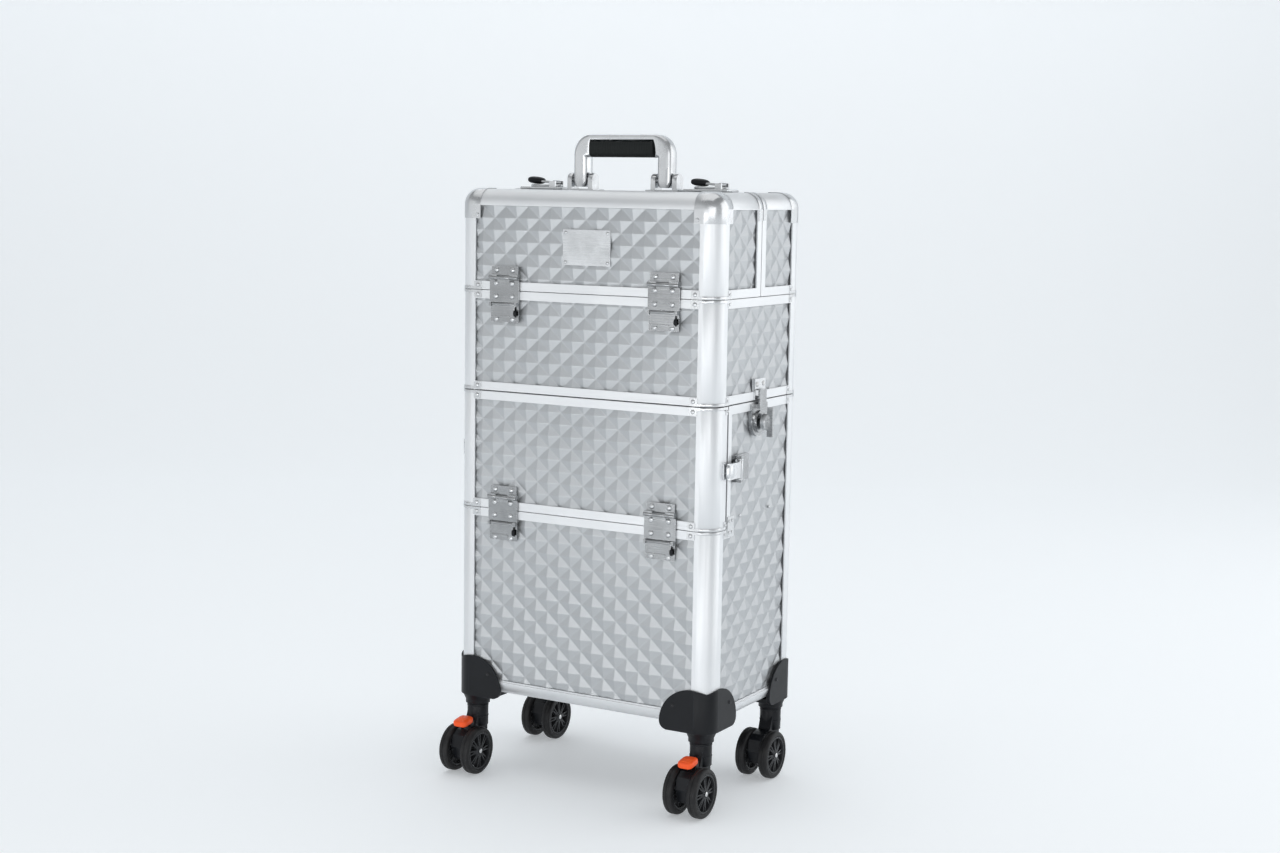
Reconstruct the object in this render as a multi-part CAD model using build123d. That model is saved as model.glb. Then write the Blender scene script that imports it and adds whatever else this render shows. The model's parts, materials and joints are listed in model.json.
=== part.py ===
from build123d import *
import os
from math import cos, radians, sin

# Rolling makeup train case, millimetres. The origin is on the floor under the middle of the case.
# +X is the case's right side, -Y its front, +Z up.

# Driving dimensions
WIDTH = 340.0
DEPTH = 210.0
UNDERSIDE = 97.0
DOOR_SEAM = 320.0
CASE_SEAM = 458.0
LID_SEAM = 575.0
TOP = 691.0

# Case construction: aluminium extrusions around flat panels
EDGE_R = 18.0
SKIN = 2.0
PANEL = 4.0
WALL = SKIN + PANEL
COLUMN = 23.0
TOP_RAIL = 19.0
BASE_RAIL = 16.0
SEAM_RAIL = 10.0
RIM = 1.5
GAP = 0.6
SPLIT_GAP = 1.4
CASE_GAP = 1.2
DOOR_DEPTH = 30.0
DOOR_GAP = 3.5
CHROME = 0.8
RIVET_R = 2.4

HALF_W = WIDTH / 2
HALF_D = DEPTH / 2
REACH = 400.0

# Hinge fittings, heights counted from their seam
FITTING_X = 105.0
FITTING_W = 40.0
HINGE_RISE = 15.0
HINGE_OUT = 4.0
BARREL_R = 2.5
PIN_R = 1.2
RUN = 0.05
KNUCKLE_W = 11.0
RIVET_X = 11.0
LEAF_T = 1.5
BASE_T = 2.6
LEVER_DROP = 15.5
LEVER_LENGTH = 15.0

# Trays inside the train case
TRAY_X = 148.0
TRAY_Y = (3.0, 86.0)
TRAY_Z = (588.0, 622.0)
ARM_LENGTH = 60.0
ARM_LEAN = 60.0
ARM_PIVOT_Z = 566.0
ARM_PIVOTS_Y = (82.0, 60.0)
ARM_X = 150.5
ARM_T = 2.5
ARM_EYE_R = 4.5
ARM_PIN_R = 2.5
TRAY_WALL = 2.0
TRAY_CELLS = 3

# Carry handle
HANDLE_Y = -17.0
HANDLE_W = 130.0
HANDLE_TOP = 755.0
HANDLE_PIVOT = 703.0
HANDLE_BAR = 18.0
HANDLE_DEPTH = 18.0
HANDLE_SHOULDER = 22.0
HANDLE_PIN_R = 3.0
HANDLE_HOLLOW = 25.0
GRIP_HALF = 42.0
BRACKET_X = 56.0
BRACKET_EYE_R = 8.0

# Pull handle on the back
TUBE_X = 52.0
TUBE_Y = HALF_D + 13.0
OUTER_TUBE = (9.5, 8.0)
MID_TUBE = (7.95, 6.6)
INNER_TUBE = (6.55, 5.2)
TUBE_FOOT = 118.0
TUBE_TOP = 446.0
GRIP_Z = (474.0, 500.0)

# Casters
CORNERS = (("front_left", -1, -1), ("front_right", 1, -1), ("rear_left", -1, 1), ("rear_right", 1, 1))
CASTER_X = 152.0
CASTER_Y = 88.0
WHEEL_R = 28.0
TYRE = 5.5
WHEEL_W = 12.0
WHEEL_X = 15.0
TRAIL = 24.0
AXLE_R = 3.0
STEM_R = 12.5
STEM_FOOT = 53.0
COLLAR_R = 14.5
COLLAR_Z = 80.0
HOOD_Z = 54.0
PIVOT_R = 5.0
PEDAL_HALF_W = 9.0
PEDAL_Z = (57.5, 67.0)
PEDAL_PIN_Z = 60.0
SMALL_PIN_R = 1.2

# Corner guards over the casters, each face a round lobe
GUARD_T = 2.5
GUARD_Z = UNDERSIDE - 5.0
LOBE_R = 40.0
LOBE_CENTRE = (22.0, GUARD_Z + 9.0)
LOBE_CORNER_R = 10.0
PLATE_REACH = 52.0
NECK_R = 19.0
NECK_Z = (COLLAR_Z + 4.0, GUARD_Z + 2.0)

# Side hardware
LATCH_Z = 434.0
LATCH_R = 20.0
LATCH_PIN_R = 4.0
HOOK_HALF_W = 8.0
KEEPER_HALF_W = 13.0
CATCH_Z = 386.0
CATCH_Y = -66.0
CATCH_PIN_R = 1.5
CATCH_OUT = 6.5
CATCH_HALF_H = 9.0

# Top locks, a flip lever on the front lid over a strike on the rear lid
LOCK_X = 110.0
LOCK_Y = -15.0
LOCK_HALF_W = 28.0
LOCK_T = 3.2
LOCK_PIN = (16.0, TOP + 7.5)


def block(x0, x1, y0, y1, z0, z1):
    """A box between two corners."""
    size = Box(abs(x1 - x0), abs(y1 - y0), abs(z1 - z0))
    return Pos((x0 + x1) / 2, (y0 + y1) / 2, (z0 + z1) / 2) * size


def rod(x, y, z, radius, length, axis="X"):
    """A cylinder centred on a point, along a named axis."""
    turn = {"X": Rot(0, 90, 0), "Y": Rot(90, 0, 0), "Z": Rot(0, 0, 0)}[axis]
    return Pos(x, y, z) * turn * Cylinder(radius, length)


def soft_block(x0, x1, y0, y1, z0, z1, radius):
    """A box with every edge rounded."""
    body = block(x0, x1, y0, y1, z0, z1)
    return fillet(body.edges(), radius)


def rounded(inset):
    """The whole case's outer form, with its surface moved in by inset."""
    return soft_block(
        -HALF_W + inset, HALF_W - inset, -HALF_D + inset, HALF_D - inset,
        UNDERSIDE + inset, TOP - inset, EDGE_R - inset,
    )


def mirrored_x(shape):
    """The shape and its copy on the other side of the case."""
    return [shape, mirror(shape, about=Plane.YZ)]


def flip_y(shape):
    """The same shape at the back of the case."""
    return mirror(shape, about=Plane.XZ)


def solids_of(shapes):
    """Every solid of a nested list of shapes."""
    found = []
    for shape in shapes:
        found += solids_of(shape) if isinstance(shape, (list, tuple)) else list(shape.solids())
    return found


def save(name, *shapes):
    """Writes one node, keeping its pieces as separate solids."""
    export_step(Compound(children=solids_of(shapes)), f"parts/{name}.step")


SHELL = rounded(0) - rounded(WALL)
CHROME_SKIN = rounded(-CHROME) - rounded(0)


def rivet(radius):
    """A button rivet head that stands on its local XY plane."""
    height = radius * 0.55
    head = Pos(0, 0, height / 2) * Cylinder(radius, height)
    return fillet(head.edges().sort_by(Axis.Z)[-1], height * 0.8)


def rivet_y(x, z, face, radius=RIVET_R):
    """A rivet head on a face that looks towards the front."""
    return Pos(x, face, z) * Rot(90, 0, 0) * rivet(radius)


def rivet_x(y, z, face, radius=RIVET_R):
    """A rivet head on a face that looks towards the right side."""
    return Pos(face, y, z) * Rot(0, 90, 0) * rivet(radius)


def seam_windows(y0, y1, z0, z1, front=True, back=False):
    """The openings in the extrusions through which the panels show, all round one section."""
    cuts = [block(x, x + s * SKIN, y0, y1, z0, z1) for s, x in ((1, HALF_W - SKIN), (-1, SKIN - HALF_W))]
    span = HALF_W - COLUMN
    if front:
        cuts.append(block(-span, span, -HALF_D, SKIN - HALF_D, z0, z1))
    if back:
        cuts.append(block(-span, span, HALF_D - SKIN, HALF_D, z0, z1))
    return cuts


def wall_panels(z0, z1, y0, y1, front=True, back=False):
    """Flat side panels from y0 to y1, with front and back panels between the corner curves."""
    flat_x = HALF_W - EDGE_R
    panels = [block(s * (HALF_W - WALL), s * (HALF_W - SKIN), y0, y1, z0, z1) for s in (1, -1)]
    if front:
        panels.append(block(-flat_x, flat_x, SKIN - HALF_D, WALL - HALF_D, z0, z1))
    if back:
        panels.append(block(-flat_x, flat_x, HALF_D - WALL, HALF_D - SKIN, z0, z1))
    return panels


def cut_all(shape, cuts):
    """A shape less every cut."""
    for cut in cuts:
        shape = shape - cut
    return shape


def front_lid():
    """The front half lid: its panels, extrusions and chrome corners."""
    z0 = LID_SEAM + GAP / 2
    y1 = -SPLIT_GAP / 2
    zone = block(-REACH, REACH, -REACH, y1, z0, REACH * 2)
    flat_z = TOP - EDGE_R
    panels = wall_panels(z0 + RIM, flat_z, EDGE_R - HALF_D, y1 - RIM)
    flat_x = HALF_W - EDGE_R
    panels.append(block(-flat_x, flat_x, EDGE_R - HALF_D, y1 - RIM, TOP - WALL, TOP - SKIN))
    windows = seam_windows(COLUMN + 3 - HALF_D, y1 - SEAM_RAIL, z0 + SEAM_RAIL, TOP - TOP_RAIL)
    top_x = HALF_W - TOP_RAIL
    windows.append(block(-top_x, top_x, TOP_RAIL - HALF_D, y1 - SEAM_RAIL, TOP - SKIN, TOP))
    frame = cut_all(SHELL & zone, panels + windows)
    cap = CHROME_SKIN & block(HALF_W - 30, REACH, -REACH, 32 - HALF_D, TOP - 34, REACH * 2)
    end_clip = CHROME_SKIN & block(HALF_W - TOP_RAIL, REACH, y1 - SEAM_RAIL + 1, y1, TOP - 31, REACH * 2)
    cap_rivet = rivet_y(HALF_W - 26, TOP - 30, -HALF_D - CHROME)
    chrome = [mirrored_x(part) for part in (cap, end_clip, cap_rivet)]
    chrome += corner_clips(z0, 1)
    return panels, frame, chrome


def corner_clips(z, up):
    """Chrome rings around the two front columns at a seam, each with a riveted ear on both faces."""
    z1 = z + up * 3.2
    ring_zone = block(HALF_W - 24, REACH, -REACH, 27 - HALF_D, z, z1)
    ring = CHROME_SKIN & ring_zone
    ear_front = block(HALF_W - 32, HALF_W - 22, -HALF_D - CHROME, -HALF_D, z, z + up * 9)
    ear_side = block(HALF_W, HALF_W + CHROME, 25 - HALF_D, DOOR_DEPTH + 2 - HALF_D, z, z + up * 9)
    clip = ring + ear_front + ear_side
    rivets = [
        rivet_y(HALF_W - 27, z + up * 5, -HALF_D - CHROME),
        rivet_x(28.5 - HALF_D, z + up * 5, HALF_W + CHROME, 1.6),
    ]
    return [mirrored_x(part) for part in [clip] + rivets]


def train_case():
    """The train case body under the lids: panels with a floor, extrusions, clips and lining."""
    z0 = CASE_SEAM + CASE_GAP / 2
    z1 = LID_SEAM - GAP / 2
    zone = block(-REACH, REACH, -REACH, REACH, z0, z1)
    side_y = HALF_D - EDGE_R
    panels = wall_panels(z0 + RIM, z1 - RIM, -side_y, side_y, True, True)
    windows = seam_windows(
        COLUMN + 3 - HALF_D, HALF_D - COLUMN - 3, z0 + SEAM_RAIL, z1 - SEAM_RAIL, True, True
    )
    frame = cut_all(SHELL & zone, panels + windows)
    floor = block(WALL - HALF_W, HALF_W - WALL, -side_y, side_y, z0, z0 + PANEL)
    panels.append(floor)
    clips = corner_clips(z0, 1) + corner_clips(z1, -1)
    clips += [flip_y(part) for group in clips for part in group]
    inner = 1.0 + WALL
    lining = block(
        WALL + 0.1 - HALF_W, HALF_W - WALL - 0.1, WALL + 0.1 - HALF_D, HALF_D - WALL - 0.1,
        z0 + PANEL + 0.1, z1 - 1,
    )
    lining = fillet(lining.edges().filter_by(Axis.Z), EDGE_R - WALL + 0.5)
    hollow = block(inner - HALF_W, HALF_W - inner, inner - HALF_D, HALF_D - inner, z0 + PANEL + 1.2, z1)
    lining = lining - fillet(hollow.edges().filter_by(Axis.Z), EDGE_R - WALL)
    return panels, frame, clips, lining


def door_zone(grow):
    """The space of the drop-down front door, its top inner edge cut back so that it can swing out."""
    y1 = DOOR_DEPTH - HALF_D + grow
    z1 = CASE_SEAM - CASE_GAP / 2
    points = [
        (-REACH, DOOR_SEAM + GAP / 2 - grow), (y1, DOOR_SEAM + GAP / 2 - grow), (y1, z1 - 6),
        (10 - HALF_D, z1), (-REACH, z1),
    ]
    if grow:
        points[2:] = [(y1, REACH * 2), (-REACH, REACH * 2)]
    face = make_face(Polyline(*[(0, y, z) for y, z in points], close=True))
    return extrude(face, amount=REACH, dir=(1, 0, 0), both=True)


def door():
    """The drop-down front door of the upper trolley compartment."""
    z0 = DOOR_SEAM + GAP / 2
    z1 = CASE_SEAM - CASE_GAP / 2
    flat_x = HALF_W - EDGE_R
    span = HALF_W - COLUMN
    panel = block(-flat_x, flat_x, SKIN - HALF_D, WALL - HALF_D, z0 + RIM, z1 - RIM)
    window = block(-span, span, -HALF_D, SKIN - HALF_D, z0 + SEAM_RAIL, z1 - SEAM_RAIL)
    frame = (SHELL & door_zone(0)) - panel - window
    clips = [
        part & block(-REACH, REACH, -REACH, DOOR_DEPTH - HALF_D, z0, z1)
        for group in corner_clips(z0, 1) + corner_clips(z1, -1) for part in group
    ]
    knob = block(
        HALF_W, HALF_W + 2.2, EDGE_R - HALF_D + 2, EDGE_R - HALF_D + 8, CATCH_Z - 9, CATCH_Z + 9
    )
    return panel, frame, clips + mirrored_x(knob)


def trolley():
    """The trolley box: side, back, lower front and floor panels, deck, shelf, extrusions and clips."""
    z1 = CASE_SEAM - CASE_GAP / 2
    z_flat = UNDERSIDE + EDGE_R
    side_y = HALF_D - EDGE_R
    back_x = HALF_W - EDGE_R
    opening_y = DOOR_DEPTH - HALF_D + DOOR_GAP
    lower_top = DOOR_SEAM - GAP / 2
    lower = wall_panels(z_flat, lower_top - RIM, -side_y, side_y)
    upper = wall_panels(lower_top - RIM, z1 - RIM, opening_y + RIM, side_y, False)
    sides = [lower[k] + upper[k] for k in (0, 1)]
    back = block(-back_x, back_x, HALF_D - WALL, HALF_D - SKIN, z_flat, z1 - RIM)
    floor = block(-back_x, back_x, -side_y, side_y, UNDERSIDE + SKIN, UNDERSIDE + WALL)
    cuts = sides + [lower[2], back, floor]
    windows = seam_windows(
        COLUMN + 3 - HALF_D, HALF_D - COLUMN - 3, UNDERSIDE + BASE_RAIL, lower_top - SEAM_RAIL
    )
    side_window_y = opening_y + SEAM_RAIL - 2
    windows += seam_windows(
        side_window_y, HALF_D - COLUMN - 3, lower_top - SEAM_RAIL - 1, z1 - SEAM_RAIL, False
    )
    span = HALF_W - COLUMN
    windows.append(block(-span, span, HALF_D - SKIN, HALF_D, UNDERSIDE + BASE_RAIL, z1 - SEAM_RAIL))
    flat_y = HALF_D - BASE_RAIL
    windows.append(
        block(BASE_RAIL - HALF_W, HALF_W - BASE_RAIL, -flat_y, flat_y, UNDERSIDE, UNDERSIDE + SKIN)
    )
    zone = block(-REACH, REACH, -REACH, REACH, 0, z1) - door_zone(DOOR_GAP) + block(
        -REACH, REACH, -REACH, REACH, 0, lower_top
    )
    frame = cut_all(SHELL & zone, cuts + windows)
    inner_x = HALF_W - WALL
    deck = block(-inner_x, inner_x, opening_y, side_y, z1 - RIM - PANEL, z1 - RIM)
    sill = block(-inner_x, inner_x, opening_y, opening_y + PANEL, lower_top + 1, lower_top + 15)
    ledge_z = lower_top + 13
    play = 0.5
    shelf = block(play - inner_x, inner_x - play, opening_y + PANEL + play, side_y, ledge_z, ledge_z + PANEL)
    ledge = block(inner_x - 8, inner_x, opening_y + PANEL, side_y, ledge_z - PANEL, ledge_z - 0.1)
    clips = corner_clips(lower_top, -1)
    elbow_y = opening_y + 0.5
    elbow = block(HALF_W, HALF_W + CHROME, elbow_y, elbow_y + 15, lower_top - 9, lower_top + 14)
    elbow_rivets = [
        rivet_x(elbow_y + a, lower_top + b, HALF_W + CHROME, 1.8) for a in (4, 11) for b in (9, -4)
    ]
    clips += [mirrored_x(part) for part in [elbow] + elbow_rivets]
    rear = corner_clips(z1, -1)
    clips += [flip_y(part) for group in rear for part in group]
    screws = []
    for y in (-36.0, 38.0):
        screws += mirrored_x(rivet_x(y, ledge_z - 2, HALF_W - SKIN, 1.8))
    panels = sides + [lower[2], back, floor, deck, sill] + mirrored_x(ledge)
    return panels, shelf, frame, clips + screws


def hinge_leaf(seam, x):
    """The upper leaf of a hinge fitting with its pin, on the swinging part."""
    face = -HALF_D
    axis_y = face - HINGE_OUT
    axis_z = seam + HINGE_RISE
    half = FITTING_W / 2 - 2
    plate = block(x - half, x + half, face - LEAF_T, face, axis_z + 2.5, axis_z + 13)
    leaf = plate + rod(x, axis_y, axis_z, PIN_R, FITTING_W - 1)
    for side in (-1, 1):
        middle = x + side * (FITTING_W - 1 - KNUCKLE_W) / 2
        leaf += rod(middle, axis_y, axis_z, BARREL_R, KNUCKLE_W)
        edge = KNUCKLE_W / 2
        leaf += block(middle - edge, middle + edge, axis_y - 1.5, face, axis_z + 0.8, axis_z + 3.5)
    rivets = [rivet_y(x + side * RIVET_X, axis_z + 8.5, face - LEAF_T) for side in (-1, 1)]
    return [leaf] + rivets


def hinge_base(seam, x, lever=True):
    """The fixed lower part of a hinge fitting: barrel, riveted plates and, for a lever, two ears."""
    face = -HALF_D
    axis_y = face - HINGE_OUT
    axis_z = seam + HINGE_RISE
    half = FITTING_W / 2
    lift = 1.1
    barrel = FITTING_W - 1 - 2 * KNUCKLE_W - 0.4
    base = block(x - half, x + half, face - BASE_T, face - lift, seam - 13, seam + 12)
    base += block(x - half, x + half, face - lift, face, seam - 13, seam - 1.5)
    base += block(x - barrel / 2, x + barrel / 2, axis_y - 0.5, face - lift, seam + 10, axis_z - 0.5)
    base += rod(x, axis_y, axis_z, BARREL_R, barrel)
    base -= rod(x, axis_y, axis_z, PIN_R + RUN, barrel + 10)
    base += block(x - half + 1, x + half - 1, face - LEAF_T, face, seam - 36, seam - 13)
    rivets = []
    for side in (-1, 1):
        for z in (seam + 8.5, seam - 6.5):
            rivets.append(rivet_y(x + side * RIVET_X, z, face - BASE_T))
        rivets.append(rivet_y(x + side * RIVET_X, seam - 32.5, face - LEAF_T))
        if lever:
            ear_x = x + side * (half - 2.5)
            base += block(ear_x - 1.5, ear_x + 1.5, face - 6, face, seam - 18, seam - 13.5)
    if lever:
        base += rod(x, face - HINGE_OUT, seam - LEVER_DROP, 1.0, 2 * (half - 2.5))
    return [base] + rivets


def release_lever(seam, x):
    """The flip lever of a hinge fitting, hanging from its pin."""
    face = -HALF_D
    y = face - HINGE_OUT
    z = seam - LEVER_DROP
    half = FITTING_W / 2 - 4.5
    lever = rod(x, y, z, 1.8, 2 * half)
    lever += block(x - half, x + half, y - 0.8, y + 0.8, z - LEVER_LENGTH, z)
    lever += block(x - half, x + half - 7, y - 2.2, y + 0.8, z - LEVER_LENGTH, z - LEVER_LENGTH + 2)
    return lever - rod(x, y, z, 1.0 + RUN, FITTING_W + 5)


def tray(out):
    """A tray inside the lids, on the side given by out (-1 front, 1 rear)."""
    y0, y1 = sorted((out * TRAY_Y[0], out * TRAY_Y[1]))
    z0, z1 = TRAY_Z
    body = block(-TRAY_X, TRAY_X, y0, y1, z0, z1)
    body = fillet(body.edges().filter_by(Axis.Z), 4)
    cell = (2 * TRAY_X - (TRAY_CELLS + 1) * TRAY_WALL) / TRAY_CELLS
    for k in range(TRAY_CELLS):
        x0 = TRAY_WALL - TRAY_X + k * (cell + TRAY_WALL)
        body -= block(x0, x0 + cell, y0 + TRAY_WALL, y1 - TRAY_WALL, z0 + TRAY_WALL, z1 + 1)
    for y, z in arm_tips(out):
        body -= rod(0, y, z, ARM_PIN_R + RUN, REACH)
    return body


def arm_feet(out):
    """Where the tray arms pivot on the case's side walls."""
    return [(out * y, ARM_PIVOT_Z) for y in ARM_PIVOTS_Y]


def arm_tips(out):
    """Where the tray arms pivot on their tray."""
    rise = ARM_LENGTH * cos(radians(ARM_LEAN))
    run = ARM_LENGTH * sin(radians(ARM_LEAN))
    return [(y - out * run, z + rise) for y, z in arm_feet(out)]


def tray_arm(out, which):
    """One pair of tray arms, a strip at each end of the tray with a boss at the wall."""
    foot = arm_feet(out)[which]
    tip = arm_tips(out)[which]
    x0 = ARM_X + which * (ARM_T + 0.5)
    middle = ((foot[0] + tip[0]) / 2, (foot[1] + tip[1]) / 2)
    strip = Rot(out * (ARM_LEAN - 90), 0, 0) * Box(ARM_T, ARM_LENGTH, 8)
    strip = Pos(x0 + ARM_T / 2, middle[0], middle[1]) * strip
    arm = strip + rod(x0 + ARM_T / 2, foot[0], foot[1], ARM_EYE_R, ARM_T)
    arm += rod(x0 + ARM_T / 2, tip[0], tip[1], ARM_EYE_R, ARM_T)
    wall = HALF_W - WALL - 1.4
    arm += rod((x0 + wall) / 2, foot[0], foot[1], 3.5, wall - x0)
    pin_end = TRAY_X - 2.5
    arm += rod((x0 + pin_end) / 2, tip[0], tip[1], ARM_PIN_R, x0 - pin_end)
    return mirrored_x(arm)


def handle_brackets():
    """Two U brackets that hold the carry handle's legs."""
    parts = []
    z0 = TOP
    for side in (-1, 1):
        x = side * BRACKET_X
        foot = block(x - 21, x + 21, HANDLE_Y - 13, HANDLE_Y + 13, z0, z0 + 1.6)
        bracket = foot
        for ear in (-1, 1):
            ear_x = x + ear * 14
            bracket += block(ear_x - 3, ear_x + 3, HANDLE_Y - 8, HANDLE_Y + 8, z0, HANDLE_PIVOT)
            bracket += rod(ear_x, HANDLE_Y, HANDLE_PIVOT, BRACKET_EYE_R, 6)
        bracket += rod(x, HANDLE_Y, HANDLE_PIVOT, HANDLE_PIN_R, 30)
        parts.append(bracket)
    return parts


def carry_handle():
    """The folding carry handle: a flat loop with round shoulders and a grip let into its bar."""
    half = HANDLE_W / 2
    leg = HANDLE_BAR
    under_bar = HANDLE_TOP - HANDLE_HOLLOW
    front, back = HANDLE_Y - HANDLE_DEPTH / 2, HANDLE_Y + HANDLE_DEPTH / 2
    loop = block(-half, half, front, back, HANDLE_PIVOT, HANDLE_TOP)
    shoulders = loop.edges().filter_by(Axis.Y).sort_by(Axis.Z)[-2:]
    loop = fillet(shoulders, HANDLE_SHOULDER)
    loop -= block(leg - half, half - leg, front - 5, back + 5, HANDLE_PIVOT - 20, under_bar)
    for side in (-1, 1):
        x = side * BRACKET_X
        loop += rod(x, HANDLE_Y, HANDLE_PIVOT, 8.5, 18)
        loop -= rod(x, HANDLE_Y, HANDLE_PIVOT, HANDLE_PIN_R + RUN, 60)
    seat = block(-GRIP_HALF, GRIP_HALF, HANDLE_Y - 20, HANDLE_Y + 20, under_bar - 1, HANDLE_TOP - 7)
    play = 0.1
    grip_end = GRIP_HALF - play
    grip = soft_block(
        -grip_end, grip_end, HANDLE_Y - 11, HANDLE_Y + 11, under_bar - 1, HANDLE_TOP - 7 - play, 3
    )
    return loop - seat, grip


def lock_parts():
    """Two top locks: a base on the front lid, a flip lever, and a strike on the rear lid."""
    bases, levers, strikes = [], [], []
    along, pin_z = LOCK_PIN
    for side in (-1, 1):
        x = side * LOCK_X
        pin_x = x + along
        base = soft_block(x - LOCK_HALF_W, x + LOCK_HALF_W, LOCK_Y - 12, LOCK_Y + 12, TOP, TOP + LOCK_T, 1.2)
        for ear in (-1, 1):
            ear_y = LOCK_Y + ear * 9
            base += block(pin_x - 4, pin_x + 4, ear_y - 1.5, ear_y + 1.5, TOP + 2, pin_z + 2.5)
        base += rod(pin_x, LOCK_Y, pin_z, SMALL_PIN_R, 20, "Y")
        bases.append(base)
        lever = rod(pin_x, LOCK_Y, pin_z, 2.6, 13, "Y")
        lever += block(x - 18, pin_x, LOCK_Y - 5, LOCK_Y + 5, pin_z - 1.3, pin_z + 1.3)
        lever += soft_block(x - 22, x - 3, LOCK_Y - 7.5, LOCK_Y + 7.5, pin_z - 3, pin_z + 4, 2)
        levers.append(lever - rod(pin_x, LOCK_Y, pin_z, SMALL_PIN_R + RUN, 30, "Y"))
        strikes.append(soft_block(x - 20, x + 20, 3, 19, TOP, TOP + LOCK_T, 1.2))
    return bases, levers, strikes


def badge():
    """A plain name plate with four corner rivets and no lettering."""
    face = SKIN - HALF_D
    plate = block(-28, 34, face - 1, face, 607, 647)
    rivets = [rivet_y(x, z, face - 1, 1.7) for x in (-24.5, 30.5) for z in (610.5, 643.5)]
    return [plate] + rivets


def side_latch():
    """A butterfly latch on the right side: trolley base with its hook, turning wing, case keeper."""
    face = HALF_W
    inset = HALF_W - SKIN
    rail_z = CASE_SEAM - CASE_GAP / 2 - SEAM_RAIL
    centre_z = LATCH_Z + 3
    shield = rod(face, 0, centre_z, LATCH_R, 20)
    shield += block(face - 10, face + 10, -LATCH_R, LATCH_R, centre_z, CASE_SEAM - CASE_GAP - 2)
    base = shield & block(face, face + 2, -REACH, REACH, 0, REACH * 2)
    base += shield & block(inset, face, -REACH, REACH, 0, rail_z)
    base = base + rod(face + 2, 0, LATCH_Z, 13, 5) + rod(face + 5, 0, LATCH_Z, LATCH_PIN_R, 10)
    hook_z, hook_top = LATCH_Z + 15, CASE_SEAM + 13
    base += block(face + 4.6, face + 6.4, -HOOK_HALF_W, HOOK_HALF_W, hook_z, hook_top)
    base += block(face + 2, face + 6.4, -HOOK_HALF_W, HOOK_HALF_W, hook_z, hook_z + 5)
    hub = rod(face + 9.5, 0, LATCH_Z, 9, 5) - rod(face + 5, 0, LATCH_Z, LATCH_PIN_R + RUN, 11)
    wing = block(face + 12, face + 19, -1.4, 1.4, LATCH_Z - 17, LATCH_Z + 17)
    wing = fillet(wing.edges().filter_by(Axis.Y).group_by(Axis.X)[-1], 1.0)
    keeper_top = CASE_SEAM + 25
    keeper = block(face, face + 2, -KEEPER_HALF_W, KEEPER_HALF_W, CASE_SEAM + 1.5, keeper_top)
    sunk_z = CASE_SEAM + CASE_GAP / 2 + SEAM_RAIL
    keeper += block(inset, face, -KEEPER_HALF_W, KEEPER_HALF_W, sunk_z, keeper_top)
    keeper += block(face + 2, face + 4, -HOOK_HALF_W, HOOK_HALF_W, hook_top - 7, hook_top - 1)
    screws = [rivet_x(s * HOOK_HALF_W, keeper_top - 6, face + 2, 2.2) for s in (-1, 1)]
    return base, hub + wing, [keeper] + screws


def door_catch():
    """A side catch on the right: its plate on the trolley and the swinging barrel over the door."""
    face = HALF_W - SKIN
    plate_y = CATCH_Y + 9
    pin_y = plate_y + 2.5
    pin_x = HALF_W + CATCH_OUT
    plate = block(face, HALF_W + 1.8, plate_y, plate_y + 33, CATCH_Z - 15, CATCH_Z + 15)
    for z in (CATCH_Z - 13, CATCH_Z + 13):
        plate += block(HALF_W, pin_x + 3, plate_y, plate_y + 5, z - 2, z + 2)
    plate += rod(pin_x, pin_y, CATCH_Z, CATCH_PIN_R, 30, "Z")
    swing = rod(pin_x, pin_y, CATCH_Z, 3.2, 20, "Z")
    swing += block(
        pin_x - 1.5, pin_x + 2, CATCH_Y - 16, pin_y, CATCH_Z - CATCH_HALF_H, CATCH_Z + CATCH_HALF_H
    )
    swing += rod(pin_x - 1.5, CATCH_Y - 9, CATCH_Z, 2.4, 2 * CATCH_HALF_H, "Z")
    return plate, swing - rod(pin_x, pin_y, CATCH_Z, CATCH_PIN_R + RUN, 40, "Z")


def guard_lobe(turn):
    """The outline of one face of a corner guard, as a solid across that face.

    Turn 0 gives the front face and -90 the side face, both measured from the case's corner.
    """
    along, up = LOBE_CENTRE
    across = 40
    disc = Pos(-along, 0, up) * Rot(90, 0, 0) * Cylinder(LOBE_R, 2 * across)
    slab = block(-along - LOBE_R, GUARD_T + 1, -across, across, GUARD_Z, REACH)
    low_edge = slab.edges().filter_by(Axis.Y).group_by(Axis.Z)[0].sort_by(Axis.X)[0]
    return Pos(HALF_W, -HALF_D, 0) * Rot(0, 0, turn) * (disc & fillet(low_edge, LOBE_CORNER_R))


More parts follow.
